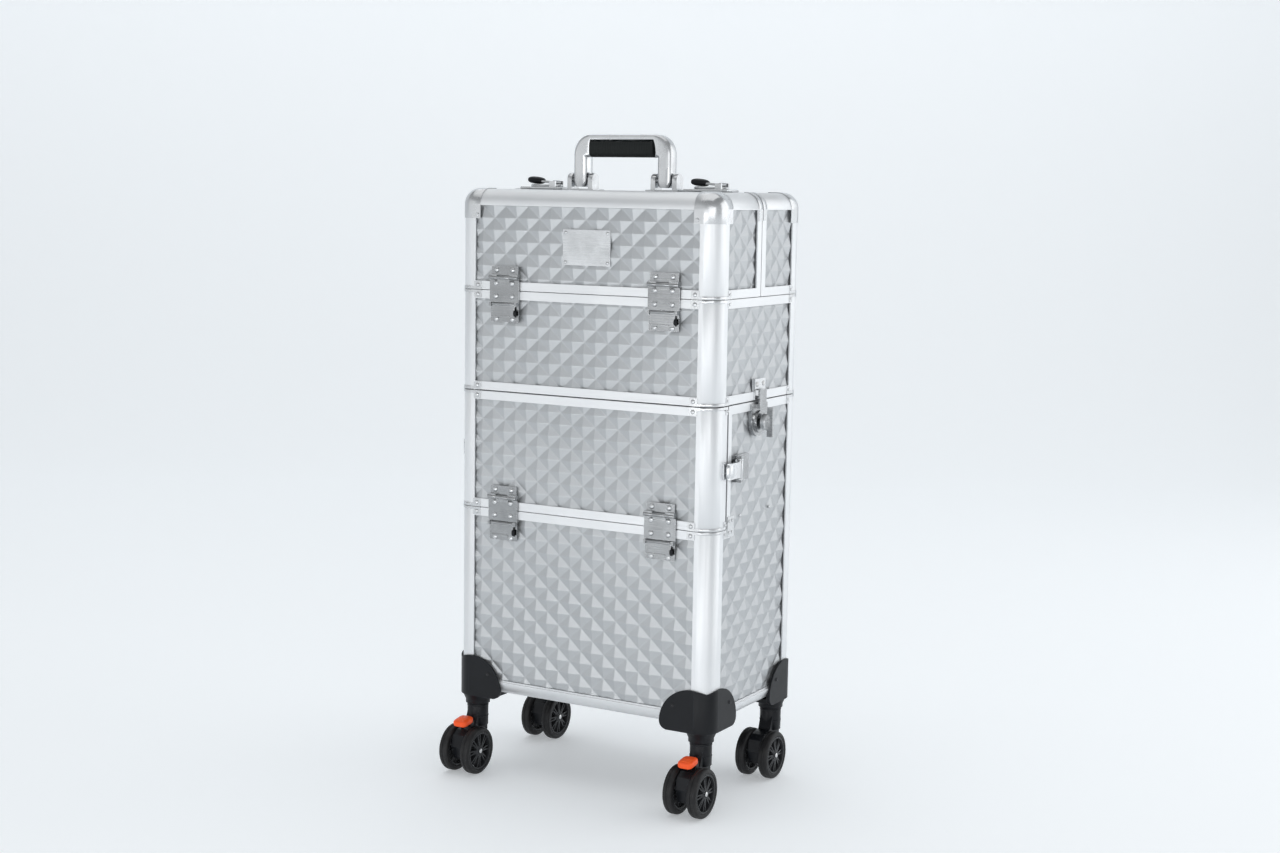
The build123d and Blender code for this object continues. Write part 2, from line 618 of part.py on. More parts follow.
def caster_bracket():
    """The front right caster's black guard in four pieces: two faces, corner, and base with stem housing."""
    outer = block(0, HALF_W + GUARD_T, -HALF_D - GUARD_T, 0, GUARD_Z, REACH)
    corner = outer.edges().filter_by(Axis.Z).sort_by(Axis.X)[-2:].sort_by(Axis.Y)[0]
    cover = fillet(corner, EDGE_R + GUARD_T) - rounded(-0.1)
    under = block(
        HALF_W - PLATE_REACH, REACH, -REACH, PLATE_REACH - HALF_D, 0, UNDERSIDE - 0.1
    )
    lobes = cover & (guard_lobe(0) + guard_lobe(-90))
    corner_x = HALF_W - EDGE_R
    corner_y = EDGE_R - HALF_D
    zones = [
        block(0, corner_x, -REACH, 2 - HALF_D, 0, REACH),
        block(HALF_W - 2, REACH, corner_y, 0, 0, REACH),
        block(corner_x, REACH, -REACH, corner_y, 0, REACH),
    ]
    pieces = [(lobes & zone) - under for zone in zones]
    base = cover & under & (guard_lobe(0) + guard_lobe(-90) + rod(CASTER_X, -CASTER_Y, GUARD_Z, 30, 40, "Z"))
    base += rod(CASTER_X, -CASTER_Y, (COLLAR_Z + GUARD_Z) / 2, COLLAR_R, GUARD_Z - COLLAR_Z, "Z")
    neck_z0, neck_z1 = NECK_Z
    neck_middle = Pos(CASTER_X, -CASTER_Y, (neck_z0 + neck_z1) / 2)
    base += neck_middle * Cone(COLLAR_R, NECK_R, neck_z1 - neck_z0)
    return pieces + [base - rod(CASTER_X, -CASTER_Y, COLLAR_Z, PIVOT_R + RUN, 24, "Z")]


def caster_fork(x, y):
    """A caster's swivel stem and the web between its wheels, with the steel axle.

    A front caster also has two ears and a pin for its brake pedal.
    """
    axle_y = y - TRAIL
    stem_top = COLLAR_Z - 1.4
    stem = rod(x, y, (stem_top + STEM_FOOT) / 2, STEM_R, stem_top - STEM_FOOT, "Z")
    stem += rod(x, y, COLLAR_Z + 2, PIVOT_R, 18, "Z")
    web_half = WHEEL_X - WHEEL_W / 2 - 1.2
    outline = [
        (y + 9, COLLAR_Z - 10), (y + 9, 46), (axle_y + 12, 18), (axle_y, 12), (axle_y - 13, 18),
        (axle_y - 20, 34), (axle_y - 16, 47), (axle_y - 8, HOOD_Z - 1.5), (axle_y, HOOD_Z),
        (axle_y + 8, HOOD_Z + 1), (y - STEM_R + 2, COLLAR_Z - 10),
    ]
    face = make_face(Polyline(*[(x, a, b) for a, b in outline], close=True))
    web = extrude(face, amount=web_half, dir=(1, 0, 0), both=True)
    fork = stem + web - rod(x, axle_y, WHEEL_R, AXLE_R + RUN / 2, 60)
    if y < 0:
        pin_y = axle_y + 2
        fork += rod(x, pin_y, PEDAL_PIN_Z, SMALL_PIN_R, 2 * web_half)
        for side in (-1, 1):
            ear = sorted((x + side * (web_half - 0.7), x + side * web_half))
            fork += block(*ear, pin_y - 3, pin_y + 3, HOOD_Z - 2, PEDAL_PIN_Z + 2.5)
    axle = rod(x, axle_y, WHEEL_R, AXLE_R, 2 * (WHEEL_X + WHEEL_W / 2))
    return [fork, axle]


def caster_pair(x, y):
    """The twin wheels of a caster, each a tyre on a spoked hub."""
    axle_y = y - TRAIL
    hub_r = WHEEL_R - TYRE
    parts = []
    for side in (-1, 1):
        cx = x + side * WHEEL_X
        tyre = rod(cx, axle_y, WHEEL_R, WHEEL_R, WHEEL_W) - rod(cx, axle_y, WHEEL_R, hub_r, 20)
        tyre = fillet(tyre.edges().filter_by(GeomType.CIRCLE).group_by(SortBy.RADIUS)[-1], 3)
        hub = rod(cx, axle_y, WHEEL_R, hub_r, WHEEL_W - 2) - rod(cx, axle_y, WHEEL_R, hub_r - 3, 20)
        hub += rod(cx, axle_y, WHEEL_R, 6, WHEEL_W - 2)
        for k in range(9):
            spoke = Pos(0, 0, (hub_r - 1.5 + 4) / 2) * Box(WHEEL_W - 5, 2.6, hub_r - 1.5 - 4)
            hub += Pos(cx, axle_y, WHEEL_R) * Rot(k * 40, 0, 0) * spoke
        hub -= rod(cx, axle_y, WHEEL_R, AXLE_R + RUN, 30)
        parts += [tyre, hub]
    return parts


def brake_pedal(x, y):
    """The brake pedal that tips on the front of a caster's web."""
    axle_y = y - TRAIL
    pedal = soft_block(x - PEDAL_HALF_W, x + PEDAL_HALF_W, axle_y - 17, axle_y + 4.5, *PEDAL_Z, 3)
    for side in (-1, 1):
        ear_room = sorted((x + side * 6.9, x + side * 10))
        pedal -= block(*ear_room, axle_y - 1.5, axle_y + 6, PEDAL_Z[0] - 1, PEDAL_Z[1] + 1)
    return pedal - rod(x, axle_y + 2, PEDAL_PIN_Z, SMALL_PIN_R + RUN, 20)


def pull_handle():
    """The telescopic pull handle on the back: fixed tubes, two sliding stages, grip and button."""
    fixed, mid, inner = [], [], []
    for side in (-1, 1):
        x = side * TUBE_X
        outer_r, outer_in = OUTER_TUBE
        tube = tube_between(x, outer_r, outer_in, TUBE_FOOT, TUBE_TOP)
        for z in (TUBE_FOOT + 2, TUBE_TOP - 26):
            clamp = block(x - 15, x + 15, HALF_D - SKIN, TUBE_Y + 12, z, z + 24)
            tube += clamp - rod(x, TUBE_Y, z, outer_r - 0.5, 100, "Z")
        fixed.append(tube)
        mid.append(tube_between(x, *MID_TUBE, TUBE_FOOT + 4, TUBE_TOP + 8))
        inner.append(tube_between(x, *INNER_TUBE, TUBE_FOOT + 8, GRIP_Z[0]))
    grip_back = CASTER_Y + TRAIL + WHEEL_R
    grip = soft_block(-66, 66, TUBE_Y - 10, grip_back, GRIP_Z[0], GRIP_Z[1], 7)
    pocket = block(-13, 13, TUBE_Y - 5, TUBE_Y + 5, GRIP_Z[1] - 5, GRIP_Z[1] + 1)
    button = block(-12.8, 12.8, TUBE_Y - 4.8, TUBE_Y + 4.8, GRIP_Z[1] - 1.8, GRIP_Z[1] + 1.6)
    return fixed, mid, inner, grip - pocket, button


def tube_between(x, outer_r, inner_r, z0, z1):
    """An upright tube of the pull handle."""
    z = (z0 + z1) / 2
    return rod(x, TUBE_Y, z, outer_r, z1 - z0, "Z") - rod(x, TUBE_Y, z, inner_r, REACH * 2, "Z")


def save_lids():
    panels, frame, chrome = front_lid()
    bases, levers, strikes = lock_parts()
    save("front_lid_panels", panels)
    save("front_lid_frame", frame)
    save("front_lid_chrome", chrome)
    save("rear_lid_panels", [flip_y(part) for part in panels])
    save("rear_lid_frame", flip_y(frame))
    save("rear_lid_chrome", [flip_y(part) for pair in chrome for part in pair], strikes)
    save("front_lid_hinge_leaves", [hinge_leaf(LID_SEAM, s * FITTING_X) for s in (-1, 1)])
    leaves = solids_of([hinge_leaf(LID_SEAM, s * FITTING_X) for s in (-1, 1)])
    save("rear_lid_hinge_leaves", [flip_y(part) for part in leaves])
    save("badge_plate", badge())
    save("handle_brackets", handle_brackets())
    loop, grip = carry_handle()
    save("carry_handle", loop)
    save("carry_handle_grip", grip)
    save("lock_bases", bases)
    save("lock_lever_left", levers[0])
    save("lock_lever_right", levers[1])


def save_train_case():
    panels, frame, clips, lining = train_case()
    _, _, keeper = side_latch()
    save("train_case_chrome", clips, [mirrored_x(part) for part in keeper])
    save("train_case_panels", panels)
    save("train_case_frame", frame)
    save("train_case_lining", lining)
    front = solids_of([hinge_base(LID_SEAM, s * FITTING_X) for s in (-1, 1)])
    rear = solids_of([hinge_base(LID_SEAM, s * FITTING_X, False) for s in (-1, 1)])
    save("lid_hinge_bases", front, [flip_y(part) for part in rear])
    save("lid_release_lever_left", release_lever(LID_SEAM, -FITTING_X))
    save("lid_release_lever_right", release_lever(LID_SEAM, FITTING_X))
    for name, out in (("front", -1), ("rear", 1)):
        save(f"{name}_tray", tray(out))
        save(f"{name}_tray_outer_arms", tray_arm(out, 0))
        save(f"{name}_tray_inner_arms", tray_arm(out, 1))


def save_trolley():
    panels, shelf, frame, clips = trolley()
    save("trolley_panels", panels)
    save("lift_out_shelf", shelf)
    save("trolley_frame", frame)
    save("trolley_clips", clips)
    panel, door_frame, door_clips = door()
    save("door_panel", panel)
    save("door_frame", door_frame)
    save("door_clips", door_clips)
    save("door_hinge_leaves", [hinge_leaf(DOOR_SEAM, s * FITTING_X) for s in (-1, 1)])
    save("door_hinge_bases", [hinge_base(DOOR_SEAM, s * FITTING_X) for s in (-1, 1)])
    save("door_release_lever_left", release_lever(DOOR_SEAM, -FITTING_X))
    save("door_release_lever_right", release_lever(DOOR_SEAM, FITTING_X))
    base, wing, _ = side_latch()
    plate, swing = door_catch()
    save("side_hardware_bases", mirrored_x(base), mirrored_x(plate))
    save("side_latch_wing_right", wing)
    save("side_latch_wing_left", mirror(wing, about=Plane.YZ))
    save("door_catch_right", swing)
    save("door_catch_left", mirror(swing, about=Plane.YZ))


def save_running_gear():
    guards = [half for piece in caster_bracket() for half in mirrored_x(piece)]
    save("caster_brackets", guards, [flip_y(part) for part in guards])
    for name, x, y in CORNERS:
        place = (x * CASTER_X, y * CASTER_Y)
        save(f"caster_fork_{name}", caster_fork(*place))
        save(f"caster_wheels_{name}", caster_pair(*place))
        if y < 0:
            save(f"brake_pedal_{name}", brake_pedal(*place))
    fixed, mid, inner, grip, button = pull_handle()
    save("pull_handle_outer_tubes", fixed)
    save("pull_handle_middle_tubes", mid)
    save("pull_handle_inner_tubes", inner)
    save("pull_handle_grip", grip)
    save("pull_handle_button", button)


os.makedirs("parts", exist_ok=True)
save_lids()
save_train_case()
save_trolley()
save_running_gear()
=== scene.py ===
"""Looks for the rolling makeup train case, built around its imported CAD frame. Units are metres."""

import json
import math

import bmesh
import bpy
from mathutils import Matrix, Vector


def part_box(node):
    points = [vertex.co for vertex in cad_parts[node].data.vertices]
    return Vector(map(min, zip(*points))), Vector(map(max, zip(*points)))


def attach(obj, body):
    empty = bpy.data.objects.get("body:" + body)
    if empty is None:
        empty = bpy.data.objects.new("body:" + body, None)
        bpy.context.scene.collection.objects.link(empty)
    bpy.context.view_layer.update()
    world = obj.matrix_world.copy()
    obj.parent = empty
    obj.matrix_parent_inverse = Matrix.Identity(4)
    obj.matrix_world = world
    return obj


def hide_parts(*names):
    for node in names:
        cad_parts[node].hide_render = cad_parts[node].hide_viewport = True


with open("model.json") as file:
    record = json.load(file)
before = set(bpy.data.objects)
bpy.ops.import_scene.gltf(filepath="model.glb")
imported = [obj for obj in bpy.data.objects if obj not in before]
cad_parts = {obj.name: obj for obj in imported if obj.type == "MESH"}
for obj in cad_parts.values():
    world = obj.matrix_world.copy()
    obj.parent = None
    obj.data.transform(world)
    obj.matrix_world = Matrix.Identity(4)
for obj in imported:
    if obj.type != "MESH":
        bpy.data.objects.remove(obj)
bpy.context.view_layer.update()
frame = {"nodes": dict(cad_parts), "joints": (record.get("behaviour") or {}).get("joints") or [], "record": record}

NODES = frame["nodes"]
JOINTS = {j["name"]: j for j in frame["joints"]}


def mm(value):
    """Millimetres to metres."""
    return value / 1000


# Sizes and places, read from the frame
CASE_LOW, CASE_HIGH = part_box("train_case_frame")
LID_LOW, LID_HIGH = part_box("front_lid_frame")
DOOR_LOW, DOOR_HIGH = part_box("door_frame")
BOX_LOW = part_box("trolley_frame")[0]
PANEL_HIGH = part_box("trolley_panels")[1]
TYRE_LOW, TYRE_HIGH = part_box("caster_wheels_front_right")

HALF_W = CASE_HIGH.x
HALF_D = CASE_HIGH.y
SKIN = HALF_W - PANEL_HIGH.x
BOARD = mm(4)
WALL = SKIN + BOARD
CORNER_FLAT = mm(18)
WHEEL_R = (TYRE_HIGH.z - TYRE_LOW.z) / 2
WHEEL_WIDTH = mm(12)
OPENING_Y = DOOR_HIGH.y + mm(3.5)
FITTING_X = mm(105)
RIVET_X = mm(11)

# Embossing: a lattice of four-sided pyramids
EMBOSS_U = mm(30.7)
EMBOSS_V = mm(27.4)
EMBOSS_RISE = mm(2.6)
EMBOSS_SINK = mm(4)

# Slopes of small parts
PEDAL_SLOPE = math.radians(9)
LEVER_LEAN = math.radians(5)

# The camera
VIEW_YAW = math.radians(29.97)
VIEW_PITCH = math.radians(7.1)
VIEW_ROLL = math.radians(0.9)
LENS_MM = 54.1
SENSOR_MM = 36.0
CAMERA_PLACE = Vector((1.1363, -1.9431, 0.6956))


# ---------------------------------------------------------------- materials

class Shader:
    """A node material under construction, with short calls for what most finishes share."""

    def __init__(self, name, colour, metallic, roughness):
        self.material = bpy.data.materials.new(name)
        self.material.use_nodes = True
        self.tree = self.material.node_tree
        self.bsdf = self.tree.nodes["Principled BSDF"]
        self.bsdf.inputs["Base Color"].default_value = (*colour, 1)
        self.bsdf.inputs["Metallic"].default_value = metallic
        self.bsdf.inputs["Roughness"].default_value = roughness
        self.coords = self.tree.nodes.new("ShaderNodeTexCoord").outputs["Object"]
        self.heights = []

    def link(self, source, target):
        self.tree.links.new(source, target)

    def stretched(self, scale):
        """Object coordinates scaled differently along each axis."""
        node = self.tree.nodes.new("ShaderNodeMapping")
        node.inputs["Scale"].default_value = scale
        self.link(self.coords, node.inputs["Vector"])
        return node.outputs["Vector"]

    def noise(self, scale, stretch=(1, 1, 1), detail=3.0):
        """A noise value from 0 to 1."""
        node = self.tree.nodes.new("ShaderNodeTexNoise")
        node.inputs["Scale"].default_value = scale
        node.inputs["Detail"].default_value = detail
        self.link(self.stretched(stretch), node.inputs["Vector"])
        return node.outputs["Fac"]

    def cells(self, scale):
        """The distance to the nearest point of a random cell pattern."""
        node = self.tree.nodes.new("ShaderNodeTexVoronoi")
        node.inputs["Scale"].default_value = scale
        self.link(self.coords, node.inputs["Vector"])
        return node.outputs["Distance"]

    def remap(self, value, low, high, out_low, out_high):
        """A value carried from one range to another."""
        node = self.tree.nodes.new("ShaderNodeMapRange")
        for key, number in zip(("From Min", "From Max", "To Min", "To Max"), (low, high, out_low, out_high)):
            node.inputs[key].default_value = number
        self.link(value, node.inputs["Value"])
        return node.outputs["Result"]

    def mix(self, factor, first, second):
        """A colour between two colours."""
        node = self.tree.nodes.new("ShaderNodeMix")
        node.data_type = "RGBA"
        self.link(factor, node.inputs["Factor"])
        for key, colour in ((6, first), (7, second)):
            if isinstance(colour, tuple):
                node.inputs[key].default_value = (*colour, 1)
            else:
                self.link(colour, node.inputs[key])
        return node.outputs[2]

    def colour(self, source):
        self.link(source, self.bsdf.inputs["Base Color"])

    def roughness(self, source):
        self.link(source, self.bsdf.inputs["Roughness"])

    def bump(self, height, distance, strength=1.0):
        """Adds a bump layer over the ones already there."""
        node = self.tree.nodes.new("ShaderNodeBump")
        node.inputs["Distance"].default_value = distance
        node.inputs["Strength"].default_value = strength
        self.link(height, node.inputs["Height"])
        if self.heights:
            self.link(self.heights[-1], node.inputs["Normal"])
        self.heights.append(node.outputs["Normal"])
        self.link(node.outputs["Normal"], self.bsdf.inputs["Normal"])

    def edges(self, radius):
        """1 along sharp edges and 0 on flat faces, for painted edge highlights and, on the plastics, edge wear."""
        bevel = self.tree.nodes.new("ShaderNodeBevel")
        bevel.inputs["Radius"].default_value = radius
        bevel.samples = 4
        plain = self.tree.nodes.new("ShaderNodeNewGeometry").outputs["Normal"]
        dot = self.tree.nodes.new("ShaderNodeVectorMath")
        dot.operation = "DOT_PRODUCT"
        self.link(bevel.outputs["Normal"], dot.inputs[0])
        self.link(plain, dot.inputs[1])
        return self.remap(dot.outputs["Value"], 1.0, 0.9, 0.0, 1.0)


def laminate():
    """Silver laminate: a pale metallic film with a fine sparkle, slightly uneven in sheen."""
    s = Shader("silver_laminate", (0.505, 0.52, 0.535), 0.8, 0.36)
    cloud = s.noise(6, detail=4)
    flake = s.noise(2600, detail=1)
    base = s.mix(s.remap(cloud, 0.35, 0.65, 0, 1), (0.48, 0.495, 0.507), (0.53, 0.545, 0.557))
    s.colour(s.mix(s.remap(flake, 0.45, 0.7, 0, 0.4), base, (0.6, 0.62, 0.64)))
    s.roughness(s.remap(cloud, 0.3, 0.7, 0.42, 0.52))
    s.bump(flake, 0.00003, 0.5)
    s.bump(s.noise(90, detail=2), 0.0002, 0.25)
    return s.material


def satin_aluminium():
    """Satin anodised extrusion: fine draw lines along its length, small random tone changes, and a painted
    highlight along its edges.
    """
    s = Shader("satin_aluminium", (0.78, 0.79, 0.8), 0.8, 0.46)
    upright = s.noise(900, (1, 1, 0.01), 2)
    level = s.noise(900, (0.01, 1, 1), 2)
    split = s.tree.nodes.new("ShaderNodeSeparateXYZ")
    s.link(s.coords, split.inputs[0])
    side = s.tree.nodes.new("ShaderNodeMath")
    side.operation = "ABSOLUTE"
    s.link(split.outputs["X"], side.inputs[0])
    on_column = s.remap(side.outputs[0], HALF_W - mm(24), HALF_W - mm(22), 0, 1)
    lines = s.tree.nodes.new("ShaderNodeMix")
    s.link(on_column, lines.inputs["Factor"])
    s.link(level, lines.inputs[2])
    s.link(upright, lines.inputs[3])
    grain = lines.outputs[0]
    shade = s.mix(s.remap(s.noise(9, detail=3), 0.35, 0.65, 0, 1), (0.76, 0.775, 0.79), (0.82, 0.83, 0.84))
    # painted highlight: sharp edges mixed towards near white
    s.colour(s.mix(s.edges(0.0006), shade, (0.93, 0.93, 0.94)))
    s.roughness(s.remap(grain, 0.3, 0.7, 0.4, 0.54))
    s.bump(grain, 0.00002, 0.6)
    return s.material


def chrome(name="bright_chrome", colour=(0.66, 0.67, 0.68), roughness=0.19):
    """Bright plating with faint smears and fine scratches."""
    s = Shader(name, colour, 1.0, roughness)
    smear = s.noise(45, detail=4)
    scratch = s.noise(700, (1, 0.03, 1), 2)
    darker = tuple(c * 0.86 for c in colour)
    s.colour(s.mix(s.remap(smear, 0.4, 0.75, 0, 0.7), colour, darker))
    s.roughness(s.remap(smear, 0.3, 0.75, roughness * 0.8, roughness * 2.2))
    s.bump(scratch, 0.00001, 0.35)
    return s.material


def nickel(name="satin_nickel", shade=0.36):
    """Satin nickel plate on stamped steel: brushed across, with random tone changes and a painted highlight along
    its edges.
    """
    s = Shader(name, (shade, shade, shade), 1.0, 0.3)
    brushed = s.noise(700, (0.02, 1, 1), 2)
    tones = [tuple(shade * k * tint for tint in (1, 1.02, 1.04)) for k in (0.9, 1.1)]
    tone = s.mix(s.remap(s.noise(60, detail=3), 0.3, 0.7, 0, 1), *tones)
    # painted highlight: sharp edges mixed towards pale grey
    s.colour(s.mix(s.edges(0.0004), tone, (0.85, 0.86, 0.87)))
    s.roughness(s.remap(brushed, 0.3, 0.7, 0.18, 0.32))
    s.bump(brushed, 0.00002, 0.6)
    return s.material


def moulded(name, colour, roughness, grain=2200, depth=0.00004, paler_by=1.9):
    """Moulded plastic: a fine spark-eroded grain, faint cloudiness and paler edges, partly rubbed wear and partly
    a painted highlight.
    """
    s = Shader(name, colour, 0.0, roughness)
    s.bsdf.inputs["Specular IOR Level"].default_value = 0.2
    cloud = s.noise(28, detail=4)
    lighter = tuple(min(1, c * paler_by) for c in colour)
    shade = s.mix(s.remap(cloud, 0.3, 0.7, 0, 0.35), colour, lighter)
    # edges mixed paler: partly edge wear, partly a painted highlight
    s.colour(s.mix(s.edges(0.0007), shade, tuple(min(1, c * paler_by * 1.5) for c in colour)))
    s.roughness(s.remap(cloud, 0.3, 0.7, roughness * 0.88, roughness * 1.12))
    s.bump(s.cells(grain), depth, 0.6)
    s.bump(s.noise(140, detail=2), 0.00008, 0.3)
    return s.material


def tyre_rubber():
    """Hard polyurethane tread: satin black with scuffs and dust picked up from floors."""
    s = Shader("tyre_rubber", (0.012, 0.012, 0.013), 0.0, 0.45)
    dust = s.noise(70, detail=6)
    s.bsdf.inputs["Specular IOR Level"].default_value = 0.35
    s.colour(s.mix(s.remap(dust, 0.52, 0.78, 0, 0.4), (0.009, 0.009, 0.010), (0.05, 0.048, 0.046)))
    s.roughness(s.remap(dust, 0.3, 0.7, 0.42, 0.62))
    s.bump(s.noise(1200, detail=2), 0.00004, 0.5)
    return s.material


def felt():
    """Black flocked lining: matt, with short fibres and soft sheen."""
    s = Shader("black_felt", (0.03, 0.03, 0.033), 0.0, 0.95)
    fibre = s.noise(1800, (1, 1, 0.4), 3)
    s.colour(s.mix(s.remap(fibre, 0.35, 0.75, 0, 1), (0.018, 0.018, 0.02), (0.075, 0.075, 0.08)))
    s.bsdf.inputs["Sheen Weight"].default_value = 0.5
    s.bsdf.inputs["Sheen Roughness"].default_value = 0.6
    s.bump(fibre, 0.0003, 0.7)
    return s.material


def plain_stage(name, colour, roughness):
    """The floor and backdrop."""
    s = Shader(name, colour, 0.0, roughness)
    s.roughness(s.remap(s.noise(3, detail=3), 0.3, 0.7, roughness * 0.95, roughness * 1.05))
    s.bsdf.inputs["Emission Color"].default_value = (*colour, 1)
    s.bsdf.inputs["Emission Strength"].default_value = 0.31
    return s.material


MATERIALS = {
    "panel": laminate(),
    "extrusion": satin_aluminium(),
    "chrome": chrome(),
    "nickel": nickel(),
    "badge": nickel("badge_plate", 0.66),
    "lining": felt(),
    "tray": moulded("tray_black", (0.016, 0.016, 0.018), 0.5),
    "black_plastic": moulded("black_plastic", (0.009, 0.01, 0.012), 0.38),
    "grip": moulded("grip_rubber", (0.009, 0.011, 0.011), 0.5, 1300, 0.0001),
    "caster": moulded("caster_plastic", (0.009, 0.010, 0.012), 0.34),
    "brake": moulded("brake_orange", (1.0, 0.115, 0.028), 0.3, paler_by=1.15),
    "hub": moulded("hub_plastic", (0.022, 0.023, 0.025), 0.26),
    "tyre": tyre_rubber(),
    "steel": chrome("axle_steel", (0.72, 0.72, 0.72), 0.22),
    "handle": chrome("satin_chrome", (0.66, 0.67, 0.68), 0.17),
}
SLOTS = {p["node"]: p["material_slot"] for p in frame["record"]["subparts"]}


def paint(piece, key):
    """Gives a piece its material."""
    piece.data.materials.clear()
    piece.data.materials.append(MATERIALS[key])


# ---------------------------------------------------------------- geometry helpers

def finish_piece(name, mesh, body, key, replaces=(), smooth=35):
    """A finished mesh object riding on its body."""
    piece = bpy.data.objects.new(name, mesh)
    bpy.context.scene.collection.objects.link(piece)
    mesh.shade_smooth() if smooth >= 180 else mesh.set_sharp_from_angle(angle=math.radians(smooth))
    if smooth < 180:
        for polygon in mesh.polygons:
            polygon.use_smooth = True
    paint(piece, key)
    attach(piece, body)
    if replaces:
        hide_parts(*replaces)
    return piece


def mesh_from(bm, name):
    """A mesh from a bmesh, with its normals made consistent."""
    bmesh.ops.recalc_face_normals(bm, faces=bm.faces[:])
    mesh = bpy.data.meshes.new(name)
    bm.to_mesh(mesh)
    bm.free()
    return mesh


def clip(bm, point, normal):
    """Removes what lies on the far side of a plane."""
    geometry = bm.verts[:] + bm.edges[:] + bm.faces[:]
    bmesh.ops.bisect_plane(bm, geom=geometry, plane_co=point, plane_no=normal, clear_outer=True)


def lattice_sheet(u0, u1, v0, v1):
    """A flat sheet of pyramids in local u, v with height in z, clipped to a rectangle."""
    bm = bmesh.new()
    centre_u, centre_v = (u0 + u1) / 2, (v0 + v1) / 2
    reach = int(max((u1 - u0) / EMBOSS_U, (v1 - v0) / EMBOSS_V)) + 3
    base_u = round(centre_u / EMBOSS_U) * EMBOSS_U
    base_v = round(centre_v / EMBOSS_V) * EMBOSS_V
    points = {}

    def corner(i, j):
        key = (i, j)
        if key not in points:
            u = base_u + (i + j) * EMBOSS_U / 2
            v = base_v + (i - j) * EMBOSS_V / 2
            points[key] = bm.verts.new((u, v, 0))
        return points[key]

    for i in range(-2 * reach, 2 * reach):
        for j in range(-2 * reach, 2 * reach):
            u = base_u + (i + j + 1) * EMBOSS_U / 2
            v = base_v + (i - j) * EMBOSS_V / 2
            near_u = u0 - EMBOSS_U < u < u1 + EMBOSS_U
            if not near_u or not v0 - EMBOSS_V < v < v1 + EMBOSS_V:
                continue
            ring = [corner(i, j), corner(i + 1, j), corner(i + 1, j + 1), corner(i, j + 1)]
            top = bm.verts.new((u, v, EMBOSS_RISE))
            for k in range(4):
                bm.faces.new((ring[k], ring[(k + 1) % 4], top))
    clip(bm, (u0, 0, 0), (-1, 0, 0))
    clip(bm, (u1, 0, 0), (1, 0, 0))
    clip(bm, (0, v0, 0), (0, -1, 0))
    clip(bm, (0, v1, 0), (0, 1, 0))
    return bm


def give_back(bm, thickness):
    """Closes a sheet into a solid with a flat back at height minus thickness."""
    rim = [e for e in bm.edges if len(e.link_faces) == 1]
    made = bmesh.ops.extrude_edge_only(bm, edges=rim)["geom"]
    low = [g for g in made if isinstance(g, bmesh.types.BMVert)]
    for vert in low:
        vert.co.z = -thickness
    loop = [e for e in bm.edges if len(e.link_faces) == 1]
    bmesh.ops.contextual_create(bm, geom=loop)


def plane_matrix(kind, sign, outer):
    """Carries local (u, v, height) to a wall, roof or floor whose outer surface is at outer."""
    base = outer - sign * EMBOSS_SINK
    if kind == "y":
        return Matrix(((1, 0, 0, 0), (0, 0, sign, base), (0, 1, 0, 0), (0, 0, 0, 1)))
    if kind == "x":
        return Matrix(((0, 0, sign, base), (1, 0, 0, 0), (0, 1, 0, 0), (0, 0, 0, 1)))
    return Matrix(((1, 0, 0, 0), (0, 1, 0, 0), (0, 0, sign, base), (0, 0, 0, 1)))


def embossed(name, body, nodes, kind, sign, outer, u0, u1, v0, v1, notch=None):
    """An embossed panel in place of a flat CAD one.

    notch is a (u, v) corner: what is left of u and above v goes.
    """
    bm = lattice_sheet(u0, u1, v0, v1)
    if notch:
        for point, normal in (((notch[0], 0, 0), (1, 0, 0)), ((0, notch[1], 0), (0, 1, 0))):
            geometry = bm.verts[:] + bm.edges[:] + bm.faces[:]
            bmesh.ops.bisect_plane(bm, geom=geometry, plane_co=point, plane_no=normal)
        gone = [
            f for f in bm.faces
            if f.calc_center_median().x < notch[0] and f.calc_center_median().y > notch[1]
        ]
        bmesh.ops.delete(bm, geom=gone, context="FACES")
    give_back(bm, WALL - EMBOSS_SINK)
    bm.transform(plane_matrix(kind, sign, outer))
    piece = finish_piece(name, mesh_from(bm, name), body, "panel", replaces=nodes, smooth=8)
    soften(piece, mm(0.7), 2, 8).modifiers["soft_edges"].use_clamp_overlap = False
    return piece


def slab(bm, low, high):
    """Adds a box between two corners."""
    size = Vector(high) - Vector(low)
    made = bmesh.ops.create_cube(bm, size=1.0)["verts"]
    for vert in made:
        vert.co = Vector(low) + Vector((
            (vert.co.x + 0.5) * size.x, (vert.co.y + 0.5) * size.y, (vert.co.z + 0.5) * size.z,
        ))
    return made


def soften(piece, width, segments=2, angle=35):
    """Rounds a piece's sharp edges, without touching its mesh."""
    weld = piece.modifiers.new("weld", "WELD")
    weld.merge_threshold = 0.000001
    bevel = piece.modifiers.new("soft_edges", "BEVEL")
    bevel.width = width
    bevel.segments = segments
    bevel.limit_method = "ANGLE"
    bevel.angle_limit = math.radians(angle)
    bevel.harden_normals = True
    return piece


def bridge(bm, here, there):
    """Joins two rings of points with a band of faces."""
    count = len(here)
    for n in range(count):
        m = (n + 1) % count
        bm.faces.new((here[n], here[m], there[m], there[n]))


def squared(parts, power):
    """The factor that carries a direction on a round out to a squared round of that power."""
    return sum(abs(part) ** power for part in parts) ** (-1 / power)


def lathe(bm, profile, centre, axis="X", steps=64):
    """Turns a closed (distance along the axis, radius) profile about an axis through centre."""
    rings = []
    for k in range(steps):
        angle = 2 * math.pi * k / steps
        ring = []
        for along, radius in profile:
            a, b = radius * math.cos(angle), radius * math.sin(angle)
            offset = {"X": (along, a, b), "Y": (a, along, b), "Z": (a, b, along)}[axis]
            ring.append(bm.verts.new(Vector(centre) + Vector(offset)))
        rings.append(ring)
    for k in range(steps):
        bridge(bm, rings[k], rings[(k + 1) % steps])


